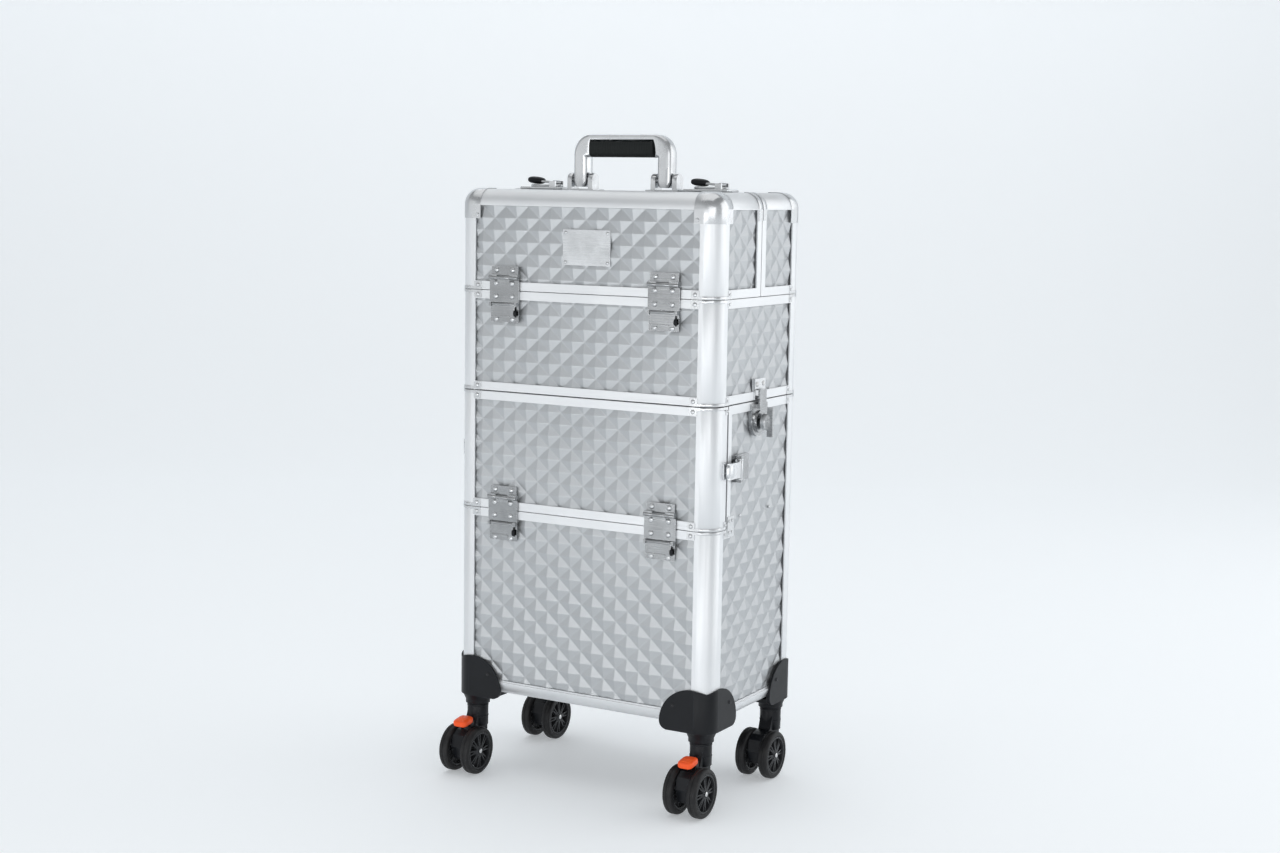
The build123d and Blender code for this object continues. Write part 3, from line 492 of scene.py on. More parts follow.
def arc(cx, cy, radius, start, end, count):
    """Points along an arc, angles in degrees."""
    return [
        (cx + radius * math.cos(math.radians(start + (end - start) * k / count)),
         cy + radius * math.sin(math.radians(start + (end - start) * k / count)))
        for k in range(count + 1)
    ]


# ---------------------------------------------------------------- panels and linings

FLAT_X = HALF_W - CORNER_FLAT
FLAT_Y = HALF_D - CORNER_FLAT


def side_panels(prefix, body, nodes, y0, y1, z0, z1, notch=None):
    """The left and right embossed panels of one section."""
    for side, sign in (("left", -1), ("right", 1)):
        embossed(f"{prefix}_{side}_panel", body, nodes, "x", sign, sign * HALF_W, y0, y1, z0, z1, notch)


def lid_panels():
    """Front, side and top panels of both half lids."""
    for name, out in (("front", -1), ("rear", 1)):
        node = f"{name}_lid_panels"
        low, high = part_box(node)
        flat_top = LID_HIGH.z - CORNER_FLAT
        y0, y1 = sorted((out * FLAT_Y, min(abs(low.y), abs(high.y)) * out))
        side_panels(f"{name}_lid", f"{name}_lid", [node], y0, y1, low.z, flat_top)
        embossed(
            f"{name}_lid_wall_panel", f"{name}_lid", [node], "y", out, out * HALF_D,
            -FLAT_X, FLAT_X, low.z, flat_top,
        )
        embossed(
            f"{name}_lid_top_panel", f"{name}_lid", [node], "z", 1, LID_HIGH.z, -FLAT_X, FLAT_X, y0, y1
        )


def train_case_panels():
    """The four walls and the floor of the train case."""
    nodes = ["train_case_panels"]
    low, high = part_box("train_case_panels")
    z0 = low.z + mm(1.5)
    side_panels("train_case", "train_case", nodes, -FLAT_Y, FLAT_Y, z0, high.z)
    for name, out in (("front", -1), ("back", 1)):
        embossed(
            f"train_case_{name}_panel", "train_case", nodes, "y", out, out * HALF_D,
            -FLAT_X, FLAT_X, z0, high.z,
        )
    boards("train_case_floor_board", "train_case", [
        ((WALL - HALF_W, -FLAT_Y, low.z), (HALF_W - WALL, FLAT_Y, low.z + BOARD)),
    ], "black_plastic", nodes)


def boards(name, body, boxes, key, nodes=(), round_by=0.0006):
    """Flat boards with softened edges, as one piece."""
    bm = bmesh.new()
    for low, high in boxes:
        slab(bm, low, high)
    piece = finish_piece(name, mesh_from(bm, name), body, key, nodes)
    return soften(piece, round_by)


def trolley_panels():
    """The trolley's embossed panels, and its plain floor, deck, sill and ledges."""
    nodes = ["trolley_panels"]
    low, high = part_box("trolley_panels")
    z0 = BOX_LOW.z + CORNER_FLAT
    lower_top = DOOR_LOW.z - mm(2.1)
    opening = OPENING_Y + mm(1.5)
    side_panels("trolley", "trolley", nodes, -FLAT_Y, FLAT_Y, z0, high.z, (opening, lower_top))
    embossed("trolley_front_panel", "trolley", nodes, "y", -1, -HALF_D, -FLAT_X, FLAT_X, z0, lower_top)
    embossed("trolley_back_panel", "trolley", nodes, "y", 1, HALF_D, -FLAT_X, FLAT_X, z0, high.z)
    inner = HALF_W - WALL
    shelf_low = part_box("lift_out_shelf")[0]
    ledges = [
        ((min(s * (inner - mm(8)), s * inner), OPENING_Y + mm(4), shelf_low.z - mm(4)),
         (max(s * (inner - mm(8)), s * inner), FLAT_Y, shelf_low.z - mm(0.1))) for s in (-1, 1)
    ]
    boards("trolley_inner_boards", "trolley", [
        ((-FLAT_X, -FLAT_Y, low.z), (FLAT_X, FLAT_Y, low.z + BOARD)),
        ((-inner, OPENING_Y, high.z - BOARD), (inner, FLAT_Y, high.z)),
        ((-inner, OPENING_Y, DOOR_LOW.z + mm(0.1)), (inner, OPENING_Y + mm(4), DOOR_LOW.z + mm(14))),
    ] + ledges, "black_plastic", nodes)


def door_panels():
    """The embossed panel of the drop-down door."""
    low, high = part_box("door_panel")
    embossed("door_front_panel", "door", ["door_panel"], "y", -1, -HALF_D, -FLAT_X, FLAT_X, low.z, high.z)


def corner_sheet(bm, side_x, side_y, z0, z1, thickness):
    """Adds the lining of one rounded upright corner."""
    far = CORNER_FLAT - WALL
    foot = Vector((side_x * FLAT_X, side_y * FLAT_Y, 0))
    rows = []
    for k in range(9):
        a = math.pi / 2 * k / 8
        out = Vector((side_x * math.cos(a), side_y * math.sin(a), 0))
        section = ((far, z0), (far - thickness, z0), (far - thickness, z1), (far, z1))
        rows.append([bm.verts.new(foot + out * r + Vector((0, 0, z))) for r, z in section])
    for here, there in zip(rows, rows[1:]):
        bridge(bm, here, there)
    bm.faces.new(rows[0])
    bm.faces.new(rows[-1])


def padded(name, body, walls, nodes=(), corners=()):
    """Felt lining: a thin padded sheet on each wall, swollen a little between its edges, and any corners."""
    bm = bmesh.new()
    for corner in corners:
        corner_sheet(bm, *corner)
    for low, high in walls:
        sheet = bmesh.new()
        slab(sheet, low, high)
        bmesh.ops.subdivide_edges(sheet, edges=sheet.edges[:], cuts=7, use_grid_fill=True)
        thin = min(range(3), key=lambda k: high[k] - low[k])
        middle = (high[thin] + low[thin]) / 2
        for vert in sheet.verts:
            share = 1.0
            for k in range(3):
                if k != thin:
                    t = (vert.co[k] - low[k]) / (high[k] - low[k])
                    share *= min(1.0, 6 * max(0.0, min(t, 1 - t)) + 0.35)
            vert.co[thin] = middle + (vert.co[thin] - middle) * share
        mesh = bpy.data.meshes.new("sheet")
        sheet.to_mesh(mesh)
        sheet.free()
        bm.from_mesh(mesh)
        bpy.data.meshes.remove(mesh)
    return finish_piece(name, mesh_from(bm, name), body, "lining", nodes, 60)


def linings():
    """The felt linings of the lids, the train case, the door and the trolley."""
    t = mm(0.9)
    wall_x, wall_y = HALF_W - WALL, HALF_D - WALL
    for name, out in (("front", -1), ("rear", 1)):
        low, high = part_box(f"{name}_lid_panels")
        z0, z1 = low.z + mm(1), high.z - mm(5)
        y0, y1 = sorted((out * FLAT_Y, out * mm(4)))
        walls = [((s * wall_x - (s > 0) * t, y0, z0), (s * wall_x + (s < 0) * t, y1, z1)) for s in (-1, 1)]
        face = out * wall_y
        walls.append(((-FLAT_X, face - (out > 0) * t, z0), (FLAT_X, face + (out < 0) * t, z1)))
        walls.append(((-FLAT_X, y0, high.z - BOARD - t), (FLAT_X, y1, high.z - BOARD)))
        corners = [(s, out, z0, LID_HIGH.z - CORNER_FLAT, t) for s in (-1, 1)]
        padded(f"{name}_lid_lining", f"{name}_lid", walls, corners=corners)
    low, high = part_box("train_case_lining")
    walls = room(wall_x, wall_y, low.z, high.z, t, True, True)
    walls.append(((-wall_x + t, -wall_y + t, low.z), (wall_x - t, wall_y - t, low.z + t)))
    corners = [(x, y, low.z, high.z, t) for x in (-1, 1) for y in (-1, 1)]
    padded("train_case_felt", "train_case", walls, ["train_case_lining"], corners)
    low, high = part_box("door_panel")
    padded("door_lining", "door", [((-FLAT_X, high.y, low.z + mm(2)), (FLAT_X, high.y + t, high.z - mm(2)))])
    low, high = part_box("trolley_panels")
    shelf_low, shelf_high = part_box("lift_out_shelf")
    z_floor = low.z + CORNER_FLAT
    lower = room(wall_x, wall_y, low.z + mm(5), shelf_low.z - mm(5), t, True, True)
    corners = [(x, y, z_floor, shelf_low.z - mm(5), t) for x in (-1, 1) for y in (-1, 1)]
    corners += [(x, 1, shelf_high.z + mm(1), high.z - mm(5), t) for x in (-1, 1)]
    lower.append(((-FLAT_X, -FLAT_Y, low.z + BOARD), (FLAT_X, FLAT_Y, low.z + BOARD + t)))
    beside_shelf = mm(0.4)
    upper = room(
        wall_x, wall_y, shelf_high.z + mm(1), high.z - mm(5), beside_shelf, False, True
    )
    padded("trolley_lining", "trolley", lower + upper, corners=corners)


def room(wall_x, wall_y, z0, z1, t, front, back):
    """Sheets on the inner walls of a box section; without a front they start behind the door opening."""
    y0 = -FLAT_Y if front else OPENING_Y + mm(5)
    walls = [((s * wall_x - (s > 0) * t, y0, z0), (s * wall_x + (s < 0) * t, FLAT_Y, z1)) for s in (-1, 1)]
    if front:
        walls.append(((-FLAT_X, -wall_y, z0), (FLAT_X, -wall_y + t, z1)))
    if back:
        walls.append(((-FLAT_X, wall_y - t, z0), (FLAT_X, wall_y, z1)))
    return walls


# ---------------------------------------------------------------- running gear

def caster_centre(name):
    """The middle of a caster's twin wheels, on its axle."""
    low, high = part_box(f"caster_wheels_{name}")
    return (low + high) / 2


def wheel_sides(name):
    """The centre planes and half width of a caster's two wheels."""
    low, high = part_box(f"caster_wheels_{name}")
    half = WHEEL_WIDTH / 2
    return low.x + half, high.x - half, half


def twin_tyres(name):
    """Two rounded tyres with a shallow tread groove."""
    centre = caster_centre(name)
    left, right, half = wheel_sides(name)
    r_out, r_in = WHEEL_R, WHEEL_R - mm(5.6)
    shoulder = mm(3.4)
    profile = arc(half - shoulder, r_out - shoulder, shoulder, 0, 90, 6)
    profile += [(mm(0.8), r_out), (mm(0.5), r_out - mm(0.5)), (mm(-0.5), r_out - mm(0.5)), (mm(-0.8), r_out)]
    profile += arc(shoulder - half, r_out - shoulder, shoulder, 90, 180, 6)
    seat = mm(0.8)
    profile += [(-half, r_in + seat), (seat - half, r_in), (half - seat, r_in), (half, r_in + seat)]
    bm = bmesh.new()
    for x in (left, right):
        lathe(bm, profile, (x, centre.y, centre.z), "X", 72)
    body = f"caster_wheels_{name}"
    mesh = mesh_from(bm, "tyres")
    return finish_piece(f"caster_tyres_{name}", mesh, body, "tyre", replaces=[body], smooth=40)


def twin_hubs(name):
    """Two spoked hubs: a rim, a raised boss and paired slim spokes that fall back from the rim."""
    centre = caster_centre(name)
    left, right, half = wheel_sides(name)
    rim = WHEEL_R - mm(5.7)
    bm = bmesh.new()
    for x, out in ((left, -1), (right, 1)):
        lathe(bm, [
            (half - mm(0.7), rim), (half - mm(0.4), rim - mm(0.8)), (half - mm(0.7), rim - mm(2.2)),
            (half - mm(2), rim - mm(2.8)), (mm(2) - half, rim - mm(2.8)), (mm(0.7) - half, rim),
        ], (x, centre.y, centre.z), "X", 72)
        lathe(bm, [
            (half - mm(0.6), mm(3.2)), (half - mm(0.6), mm(5.6)), (half - mm(1.4), mm(6.4)),
            (mm(1.4) - half, mm(6.4)), (mm(0.6) - half, mm(5.6)), (mm(0.6) - half, mm(3.2)),
        ], (x, centre.y, centre.z), "X", 48)
        for k in range(8):
            for twin in (-1, 1):
                spoke(bm, Vector((x, centre.y, centre.z)), out, k * 45 + twin * 7, rim - mm(2.4), half)
    mesh = mesh_from(bm, "hubs")
    piece = finish_piece(f"caster_hubs_{name}", mesh, f"caster_wheels_{name}", "hub")
    return soften(piece, mm(0.3), 2, 50)


def spoke(bm, centre, out, angle, reach, half):
    """One tapered spoke from the boss to the rim."""
    turn = Matrix.Rotation(math.radians(angle), 4, "X")
    near, far = mm(5.5), reach
    sections = ((near, half * 0.55, mm(1.15)), (far, half * 0.3, mm(0.75)))
    rings = []
    for radius, deep, wide in sections:
        front = half - mm(1.2) if radius == near else half - mm(2.4)
        ring = [(out * front, -wide), (out * front, wide), (-out * deep, wide), (-out * deep, -wide)]
        rings.append([bm.verts.new(centre + turn @ Vector((a, b, radius))) for a, b in ring])
    bridge(bm, rings[0], rings[1])
    bm.faces.new(rings[0])
    bm.faces.new(rings[1])


def axle_caps(name):
    """A domed steel cap at each end of the axle."""
    centre = caster_centre(name)
    left, right, half = wheel_sides(name)
    bm = bmesh.new()
    for x, out in ((left, -1), (right, 1)):
        face = half - mm(0.3)
        dome = [(out * a, b) for a, b in (
            (face - mm(1.5), mm(0.02)), (face - mm(1.5), mm(2.9)), (face + mm(0.1), mm(2.9)),
            (face + mm(0.8), mm(2.2)), (face + mm(1.0), mm(1.1)), (face + mm(1.1), mm(0.02)),
        )]
        lathe(bm, dome, (x, centre.y, centre.z), "X", 32)
    return finish_piece(f"axle_caps_{name}", mesh_from(bm, "caps"), f"caster_wheels_{name}", "steel")


def pedals():
    """Orange brake pedals with rounded corners, sloping down to the front."""
    for side in ("left", "right"):
        node = f"brake_pedal_front_{side}"
        low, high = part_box(node)
        middle = (low + high) / 2
        half = (high - low) / 2
        bm = bmesh.new()
        slope = Matrix.Rotation(PEDAL_SLOPE, 3, "X")
        drop(bm, (middle.x, middle.y, middle.z), (half.x, half.y, half.z * 0.86), slope, 4.5)
        for k in range(3):
            y = low.y + mm(4 + 3 * k)
            place = (middle.x, y, middle.z + half.z * 0.83 + (y - middle.y) * math.sin(PEDAL_SLOPE))
            drop(bm, place, (half.x * 0.62, mm(0.7), mm(0.7)), slope)
        finish_piece(f"pedal_{side}", mesh_from(bm, "pedal"), node, "brake", replaces=[node], smooth=60)


def stem_rings(name):
    """The recessed bearing ring between the stem housing and the swivel, and two beads round the neck."""
    x, y, z = JOINTS[f"caster_swivel_{name}"]["pos_m"]
    bm = bmesh.new()
    recess = [(mm(-0.1), mm(6)), (mm(-0.1), mm(10.6)), (mm(-1.3), mm(10.6)), (mm(-1.3), mm(6))]
    lathe(bm, recess, (x, y, z), "Z", 40)
    for drop_by in (mm(-3.2), mm(-16)):
        lathe(bm, [
            (drop_by + mm(0.9), mm(12)), (drop_by + mm(0.5), mm(12.9)), (drop_by - mm(0.5), mm(12.9)),
            (drop_by - mm(0.9), mm(12)),
        ], (x, y, z), "Z", 48)
    return finish_piece(f"swivel_ring_{name}", mesh_from(bm, "ring"), f"caster_swivel_{name}", "caster")


def casters():
    for name in ("front_left", "front_right", "rear_left", "rear_right"):
        twin_tyres(name)
        twin_hubs(name)
        axle_caps(name)
        stem_rings(name)
    pedals()


# ---------------------------------------------------------------- handles and hardware

def ribbed_grip(name, body, node, ribs, key="grip"):
    """A moulded grip along X: a soft rounded bar whose section swells and carries fine ribs."""
    low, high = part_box(node)
    centre = (low + high) / 2
    half = (high - low) / 2
    steps = ribs * 6
    ring_points = 32
    power = 4.0
    bm = bmesh.new()
    rings = []
    for k in range(steps + 1):
        t = k / steps
        x = low.x + (high.x - low.x) * t
        end = min(1.0, min(t, 1 - t) * 30 + 0.86)
        rib = 1 - 0.022 * (0.5 + 0.5 * math.cos(2 * math.pi * t * ribs)) if 0.06 < t < 0.94 else 1.0
        ring = []
        for n in range(ring_points):
            angle = 2 * math.pi * n / ring_points
            c, s = math.cos(angle), math.sin(angle)
            scale = squared((c, s), power)
            a = half.y * c * scale * end * rib
            b = half.z * s * scale * end * rib
            ring.append(bm.verts.new((x, centre.y + a, centre.z + b)))
        rings.append(ring)
    for here, there in zip(rings, rings[1:]):
        bridge(bm, here, there)
    bm.faces.new(rings[0])
    bm.faces.new(rings[-1])
    return finish_piece(name, mesh_from(bm, name), body, key, replaces=[node], smooth=50)


def drop(bm, centre, half, turn=None, power=2.6):
    """Adds a soft swollen form of the given half sizes, optionally turned."""
    made = bmesh.ops.create_uvsphere(bm, u_segments=40, v_segments=24, radius=1.0)["verts"]
    for vert in made:
        size = squared(vert.co, power)
        place = Vector([c * size * h for c, h in zip(vert.co, half)])
        vert.co = Vector(centre) + (turn @ place if turn else place)


def lock_levers():
    """The two top locks' levers: a tapered steel arm on its pin and a swollen black tip."""
    for side in ("left", "right"):
        node = f"lock_lever_{side}"
        low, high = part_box(node)
        hub = Vector((high.x - mm(2.6), (low.y + high.y) / 2, high.z - mm(3.5)))
        lean = Matrix.Rotation(LEVER_LEAN, 4, "Y")
        bm = bmesh.new()
        arm = slab(bm, (mm(-24), mm(-4.6), mm(-1.4)), (mm(0), mm(4.6), mm(1.1)))
        for vert in arm:
            if vert.co.x > mm(-10):
                vert.co.y *= 1.15
        bm.transform(Matrix.Translation(hub) @ lean)
        pin = [(mm(-6.5), mm(0.2)), (mm(-6.5), mm(2.6)), (mm(6.5), mm(2.6)), (mm(6.5), mm(0.2))]
        lathe(bm, pin, hub, "Y", 32)
        arm = finish_piece(f"lock_arm_{side}", mesh_from(bm, "arm"), node, "nickel", [node])
        soften(arm, mm(0.5), 2)
        bm = bmesh.new()
        drop(bm, (mm(-28), 0, mm(0.2)), (mm(11), mm(7.6), mm(4.2)))
        bm.transform(Matrix.Translation(hub) @ lean)
        finish_piece(f"lock_tip_{side}", mesh_from(bm, "tip"), node, "black_plastic", smooth=180)


def lock_bails():
    """The wire loop of each top lock, lying on its base under the lever."""
    for side, sign in (("left", -1), ("right", 1)):
        low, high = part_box(f"lock_lever_{side}")
        centre = Vector((sign * mm(110) + mm(2), (low.y + high.y) / 2, LID_HIGH.z + mm(4.6)))
        bm = bmesh.new()
        rings = []
        around, wire, count = 40, mm(1.5), 12
        for k in range(around):
            a = 2 * math.pi * k / around
            out = Vector((math.cos(a), math.sin(a), 0))
            middle = centre + Vector((mm(20) * out.x, mm(9) * out.y, 0))
            rings.append([
                bm.verts.new(
                    middle + out * (wire * math.cos(b)) + Vector((0, 0, wire * math.sin(b)))
                )
                for b in (2 * math.pi * n / count for n in range(count))
            ])
        for k in range(around):
            bridge(bm, rings[k], rings[(k + 1) % around])
        name = f"lock_bail_{side}"
        finish_piece(name, mesh_from(bm, name), "front_lid", "handle", smooth=180)


def carry_loop():
    """The carry handle's metal loop: soft-edged legs that sweep round the shoulders into a thin top bar."""
    low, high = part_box("carry_handle")
    half_w = high.x
    leg, shoulder = mm(18), mm(22)
    foot = low.z
    centre_y = (low.y + high.y) / 2
    depth = (high.y - low.y) / 2
    stations = [
        ((half_w - mm(3), foot + mm(0.2)), (half_w - leg + mm(3), foot + mm(0.2))),
        ((half_w - mm(0.8), foot + mm(3)), (half_w - leg + mm(0.8), foot + mm(3))),
        ((half_w, foot + mm(7)), (half_w - leg, foot + mm(7))),
    ]
    seat_x, seat_z = half_w - leg - mm(4.8), high.z - mm(25)
    for k in range(17):
        t = k / 16
        a = math.pi / 2 * t
        outer = (
            half_w - shoulder + shoulder * math.cos(a), high.z - shoulder + shoulder * math.sin(a)
        )
        turn = min(1.0, t / 0.3)
        rise = max(0.0, (t - 0.3) / 0.7)
        inner = (half_w - leg + (seat_x - half_w + leg) * turn, seat_z - mm(1) * (1 - turn) + mm(18) * rise)
        stations.append((outer, inner))
    mirrored = [((-a[0], a[1]), (-b[0], b[1])) for a, b in reversed(stations)]
    bm = bmesh.new()
    rings = []
    count, power = 36, 4.5
    for outer, inner in stations + mirrored:
        middle = Vector(((outer[0] + inner[0]) / 2, centre_y, (outer[1] + inner[1]) / 2))
        across = Vector(((outer[0] - inner[0]) / 2, 0, (outer[1] - inner[1]) / 2))
        ring = []
        for n in range(count):
            c, t = math.cos(2 * math.pi * n / count), math.sin(2 * math.pi * n / count)
            size = squared((c, t), power)
            ring.append(bm.verts.new(middle + across * (c * size) + Vector((0, depth * t * size, 0))))
        rings.append(ring)
    for here, there in zip(rings, rings[1:]):
        bridge(bm, here, there)
    bm.faces.new(rings[0])
    bm.faces.new(rings[-1])
    name = "carry_handle_loop"
    finish_piece(name, mesh_from(bm, name), "carry_handle", "handle", ["carry_handle"], 50)


def dome(bm, place, radius, axis, sign):
    """Adds a polished button head standing on a face."""
    height = radius * 0.62
    profile = [(0, radius * 0.02), (0, radius)]
    profile += [
        (sign * height * math.sin(a), radius * math.cos(a))
        for a in (math.radians(15 + 14 * k) for k in range(6))
    ]
    lathe(bm, profile, place, axis, 20)


def rivets():
    """Polished rivet heads on the hinge fittings, badge and corner clips."""
    face = -HALF_D
    heads = {}

    def front(body, x, z, out, radius=mm(3.2)):
        heads.setdefault(body, []).append(((x, face - out, z), radius, "Y", -1))

    for leaves, bases, upper, lower in (
        ("front_lid_hinge_leaves", "lid_hinge_bases", "front_lid", "train_case"),
        ("door_hinge_leaves", "door_hinge_bases", "door", "trolley"),
    ):
        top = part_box(leaves)[1]
        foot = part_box(bases)[0].z
        for x in (a * FITTING_X + b * RIVET_X for a in (-1, 1) for b in (-1, 1)):
            front(upper, x, top.z - mm(4.5), mm(1.5))
            front(lower, x, foot + mm(44.5), mm(2.6))
            front(lower, x, foot + mm(29.5), mm(2.6))
            front(lower, x, foot + mm(3.5), mm(1.5))
    low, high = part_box("badge_plate")
    for x in (low.x + mm(3.5), high.x - mm(3.5)):
        for z in (low.z + mm(3.5), high.z - mm(3.5)):
            front("front_lid", x, z, mm(-1), mm(2.1))
    seams = (
        ("front_lid", LID_LOW.z + mm(5)),
        ("train_case", CASE_HIGH.z - mm(5)),
        ("train_case", CASE_LOW.z + mm(5)),
        ("door", DOOR_HIGH.z - mm(5)),
        ("door", DOOR_LOW.z + mm(5)),
        ("trolley", DOOR_LOW.z - mm(5.6)),
    )
    for body, z in seams:
        for sign in (-1, 1):
            front(body, sign * (HALF_W - mm(27)), z, mm(0.8), mm(2.6))
    for body, items in heads.items():
        bm = bmesh.new()
        for place, radius, axis, sign in items:
            dome(bm, place, radius, axis, sign)
        finish_piece(f"{body}_rivet_heads", mesh_from(bm, "heads"), body, "chrome", smooth=60)


def side_hardware():
    """Rounded chrome hooks on the door catches, and heads on the butterfly latches and their keepers."""
    for side, sign in (("left", -1), ("right", 1)):
        node = f"door_catch_{side}"
        low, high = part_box(node)
        middle = (low + high) / 2
        bm = bmesh.new()
        drop(bm, (sign * (HALF_W + mm(5.6)), low.y + mm(5), middle.z), (mm(3.6), mm(6.4), mm(9.6)), power=3.2)
        for z in (low.z - mm(1), high.z + mm(1)):
            drop(bm, (sign * (HALF_W + mm(6.5)), high.y - mm(3.5), z), (mm(3.4), mm(3.4), mm(1.6)))
        finish_piece(f"door_catch_hook_{side}", mesh_from(bm, "hook"), node, "handle", smooth=180)
        low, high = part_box(f"side_latch_wing_{side}")
        middle = (low + high) / 2
        bm = bmesh.new()
        profile = [
            (mm(-2), mm(0.2)), (mm(-2), mm(9.4)), (mm(2.2), mm(9.4)), (mm(3.2), mm(8.6)), (mm(3.6), mm(0.2)),
        ]
        place = (sign * (HALF_W + mm(9.5)), middle.y, middle.z)
        lathe(bm, [(sign * a, b) for a, b in profile], place, "X", 40)
        name = f"side_latch_boss_{side}"
        finish_piece(name, mesh_from(bm, "boss"), f"side_latch_wing_{side}", "chrome")
        keepers = bmesh.new()
        for y in (mm(-8), mm(8)):
            place = (sign * (HALF_W + mm(2)), y, CASE_LOW.z + mm(18.4))
            dome(keepers, place, mm(2.9), "X", sign)
        mesh = mesh_from(keepers, "heads")
        finish_piece(f"keeper_heads_{side}", mesh, "train_case", "steel", smooth=60)
        bases = bmesh.new()
        for y in (mm(-14.5), mm(14.5)):
            dome(bases, (sign * (HALF_W + mm(2)), y, middle.z + mm(6)), mm(2.6), "X", sign)
        mesh = mesh_from(bases, "heads")
        finish_piece(f"latch_heads_{side}", mesh, "trolley", "steel", smooth=60)


def lever_hollow_shade():
    """A black bead beside each release lever, a dark piece that stands in for the shade in the lever's hollow:
    painted shade.
    """
    for name in ("lid", "door"):
        for side in ("left", "right"):
            node = f"{name}_release_lever_{side}"
            low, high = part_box(node)
            bm = bmesh.new()
            drop(bm, (high.x + mm(0.6), low.y + mm(1.6), low.z + mm(5)), (mm(1.9), mm(1.5), mm(3.6)))
            mesh = mesh_from(bm, "bead")
            finish_piece(f"{name}_lever_bead_{side}", mesh, node, "black_plastic", smooth=180)


def tube_clamps():
    """Moulded clamps that hold the pull handle's fixed tubes to the back."""
    low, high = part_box("pull_handle_outer_tubes")
    tube_x = high.x - mm(15)
    skin = mm(0.6)
    bm = bmesh.new()
    for x in (-tube_x, tube_x):
        for z in (low.z + mm(2), high.z - mm(26)):
            far_corner = (x + mm(15) + skin, high.y + skin, z + mm(24) + skin)
            slab(bm, (x - mm(15) - skin, HALF_D, z - skin), far_corner)
    piece = finish_piece("pull_handle_clamps", mesh_from(bm, "clamps"), "trolley", "black_plastic")
    soften(piece, mm(1.3), 3)


def guard_screws():
    """A screw head on each outer face of the four corner guards."""
    guard_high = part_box("caster_brackets")[1]
    bm = bmesh.new()
    height = mm(121)
    for x in (-1, 1):
        for y in (-1, 1):
            dome(bm, (x * (HALF_W - mm(45)), y * guard_high.y, height), mm(2.4), "Y", y)
            dome(bm, (x * guard_high.x, y * (HALF_D - mm(45)), height), mm(2.4), "X", x)
    finish_piece("guard_screws", mesh_from(bm, "screws"), "trolley", "hub", smooth=60)


def hardware():
    """Small parts that the frame leaves plain."""
    guard_screws()
    ribbed_grip("carry_handle_soft_grip", "carry_handle", "carry_handle_grip", 26)
    ribbed_grip("pull_handle_soft_grip", "pull_handle_top_stage", "pull_handle_grip", 30)
    lock_levers()
    lock_bails()
    carry_loop()
    rivets()
    side_hardware()
    lever_hollow_shade()
    tube_clamps()


def carried_nodes():
    """Finishes for the frame's own nodes that stay in sight, with their edges softened."""
    widths = {"extrusion": mm(0.35), "chrome": mm(0.25), "nickel": mm(0.2), "caster": mm(0.8)}
    special = {"badge_plate": "badge", "handle_brackets": "handle", "side_hardware_bases": "nickel"}
    for name, node in NODES.items():
        if node.hide_render:
            continue
        key = SLOTS[name]
        finish = "handle" if name.startswith("pull_handle") and key == "chrome" else key
        if name.startswith("side_latch_wing"):
            finish = "nickel"
        paint(node, special.get(name, finish))
        soften(node, mm(1.4) if name == "caster_brackets" else widths.get(key, mm(0.5)))


# ---------------------------------------------------------------- stage, light and camera

def floor_and_backdrop():
    """A pale floor that sweeps up into a pale wall."""
    back, height, bend, wide, near = 3.4, 5.0, 1.2, 8.0, 3.4
    section = [(-near, 0.0)] + [
        (back - bend + bend * math.sin(a), bend - bend * math.cos(a))
        for a in (math.pi / 2 * k / 24 for k in range(25))
    ] + [(back, height)]
    turn = Matrix.Rotation(VIEW_YAW, 4, "Z")
    bm = bmesh.new()
    rows = [[bm.verts.new(turn @ Vector((x, y, z))) for x in (-wide, wide)] for y, z in section]
    for low, high in zip(rows, rows[1:]):
        bm.faces.new((low[0], low[1], high[1], high[0]))
    mesh = mesh_from(bm, "backdrop")
    for polygon in mesh.polygons:
        polygon.use_smooth = True
    stage = bpy.data.objects.new("backdrop", mesh)
    bpy.context.scene.collection.objects.link(stage)
    mesh.materials.append(plain_stage("pale_stage", (0.83, 0.855, 0.875), 0.75))


def area_light(name, place, target, size, power):
    """A soft box aimed at a point."""
    data = bpy.data.lights.new(name, "AREA")
    data.shape = "RECTANGLE"
    data.size, data.size_y = size
    data.energy = power
    light = bpy.data.objects.new(name, data)
    bpy.context.scene.collection.objects.link(light)
    light.location = place
    aim = Vector(target) - Vector(place)
    light.rotation_euler = aim.to_track_quat("-Z", "Y").to_euler()
    return light


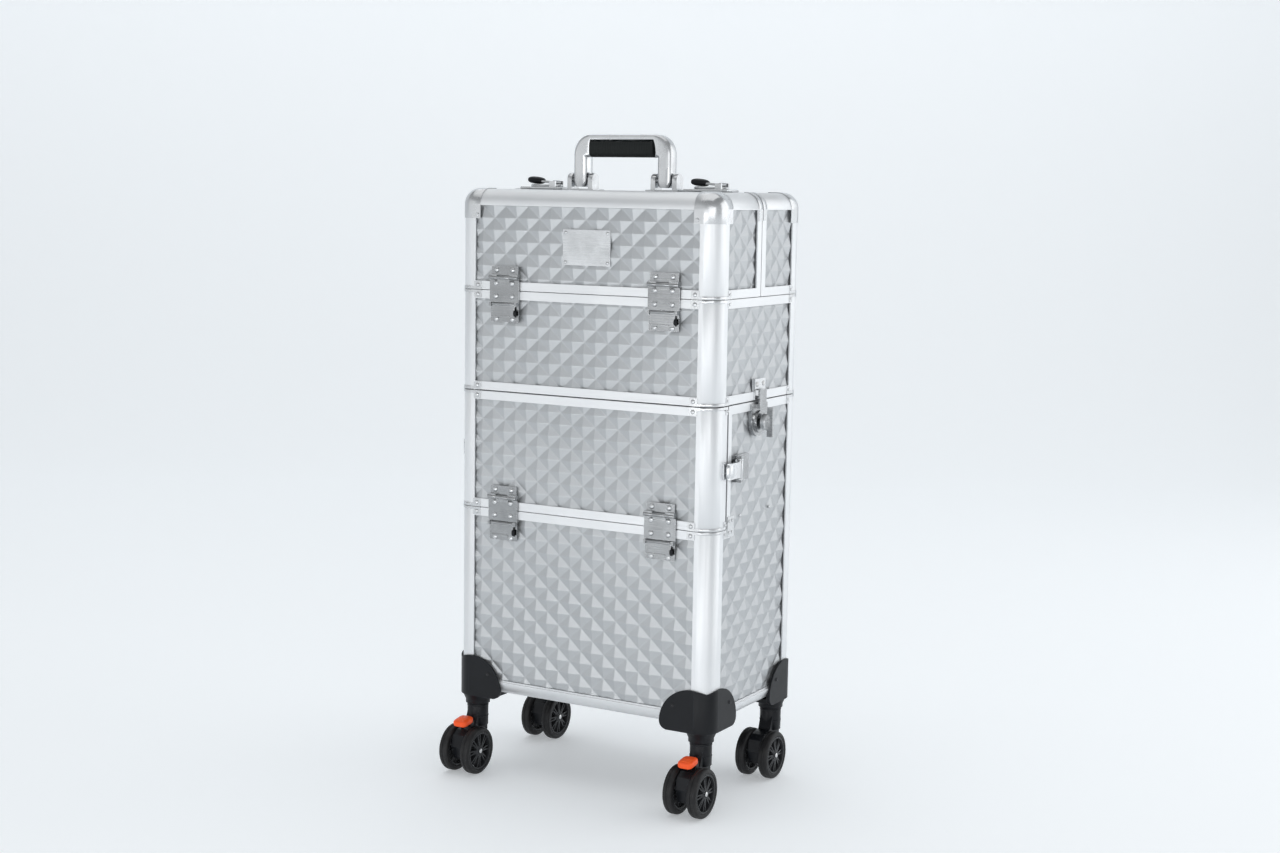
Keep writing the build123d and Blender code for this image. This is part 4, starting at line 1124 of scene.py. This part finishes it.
def camera():
    """The camera, at the front right, level with the case's top."""
    data = bpy.data.cameras.new("camera")
    data.lens = LENS_MM
    data.sensor_width = SENSOR_MM
    data.sensor_fit = "HORIZONTAL"
    eye = bpy.data.objects.new("camera", data)
    bpy.context.scene.collection.objects.link(eye)
    forward = Vector((
        -math.sin(VIEW_YAW) * math.cos(VIEW_PITCH), math.cos(VIEW_YAW) * math.cos(VIEW_PITCH),
        -math.sin(VIEW_PITCH),
    ))
    level = Vector((math.cos(VIEW_YAW), math.sin(VIEW_YAW), 0))
    up = level.cross(forward)
    right = level * math.cos(VIEW_ROLL) + up * math.sin(VIEW_ROLL)
    above = up * math.cos(VIEW_ROLL) - level * math.sin(VIEW_ROLL)
    eye.matrix_world = Matrix((
        (right.x, above.x, -forward.x, CAMERA_PLACE.x),
        (right.y, above.y, -forward.y, CAMERA_PLACE.y),
        (right.z, above.z, -forward.z, CAMERA_PLACE.z),
        (0, 0, 0, 1),
    ))
    bpy.context.scene.camera = eye


def surround():
    """A pale room: brightest at the horizon and below it, darker overhead."""
    world = bpy.data.worlds.new("surround")
    bpy.context.scene.world = world
    world.use_nodes = True
    tree = world.node_tree
    background = tree.nodes["Background"]
    background.inputs["Color"].default_value = (0.925, 0.955, 0.98, 1)
    direction = tree.nodes.new("ShaderNodeTexCoord").outputs["Generated"]
    height = tree.nodes.new("ShaderNodeVectorMath")
    height.operation = "DOT_PRODUCT"
    height.inputs[1].default_value = (0, 0, 1)
    tree.links.new(direction, height.inputs[0])
    strength = tree.nodes.new("ShaderNodeMapRange")
    for key, number in (("From Min", 0.0), ("From Max", 0.75), ("To Min", 0.648), ("To Max", 0.36)):
        strength.inputs[key].default_value = number
    tree.links.new(height.outputs["Value"], strength.inputs["Value"])
    tree.links.new(strength.outputs["Result"], background.inputs["Strength"])


def lights():
    """Soft studio light: boxes overhead, low in front and front right, a weak one left, a broad one right."""
    surround()
    middle = (0, 0, 0.4)
    area_light("overhead", (-0.3, 0.0, 3.0), middle, (3.0, 3.0), 19)
    area_light("front_low", (-0.3, -2.2, 0.15), (0, 0, 0.25), (1.1, 0.6), 6.5)
    area_light("front_right", (1.45, -2.45, 0.6), (0, 0, 0.4), (2.4, 1.3), 13)
    area_light("key_left", (-2.1, -2.2, 0.9), middle, (2.0, 1.6), 3)
    area_light("fill_right", (2.0, 1.3, 0.8), middle, (2.6, 2.6), 20)


bpy.context.scene.view_settings.view_transform = "Standard"
lid_panels()
train_case_panels()
trolley_panels()
door_panels()
linings()
casters()
hardware()
carried_nodes()
floor_and_backdrop()
camera()
lights()
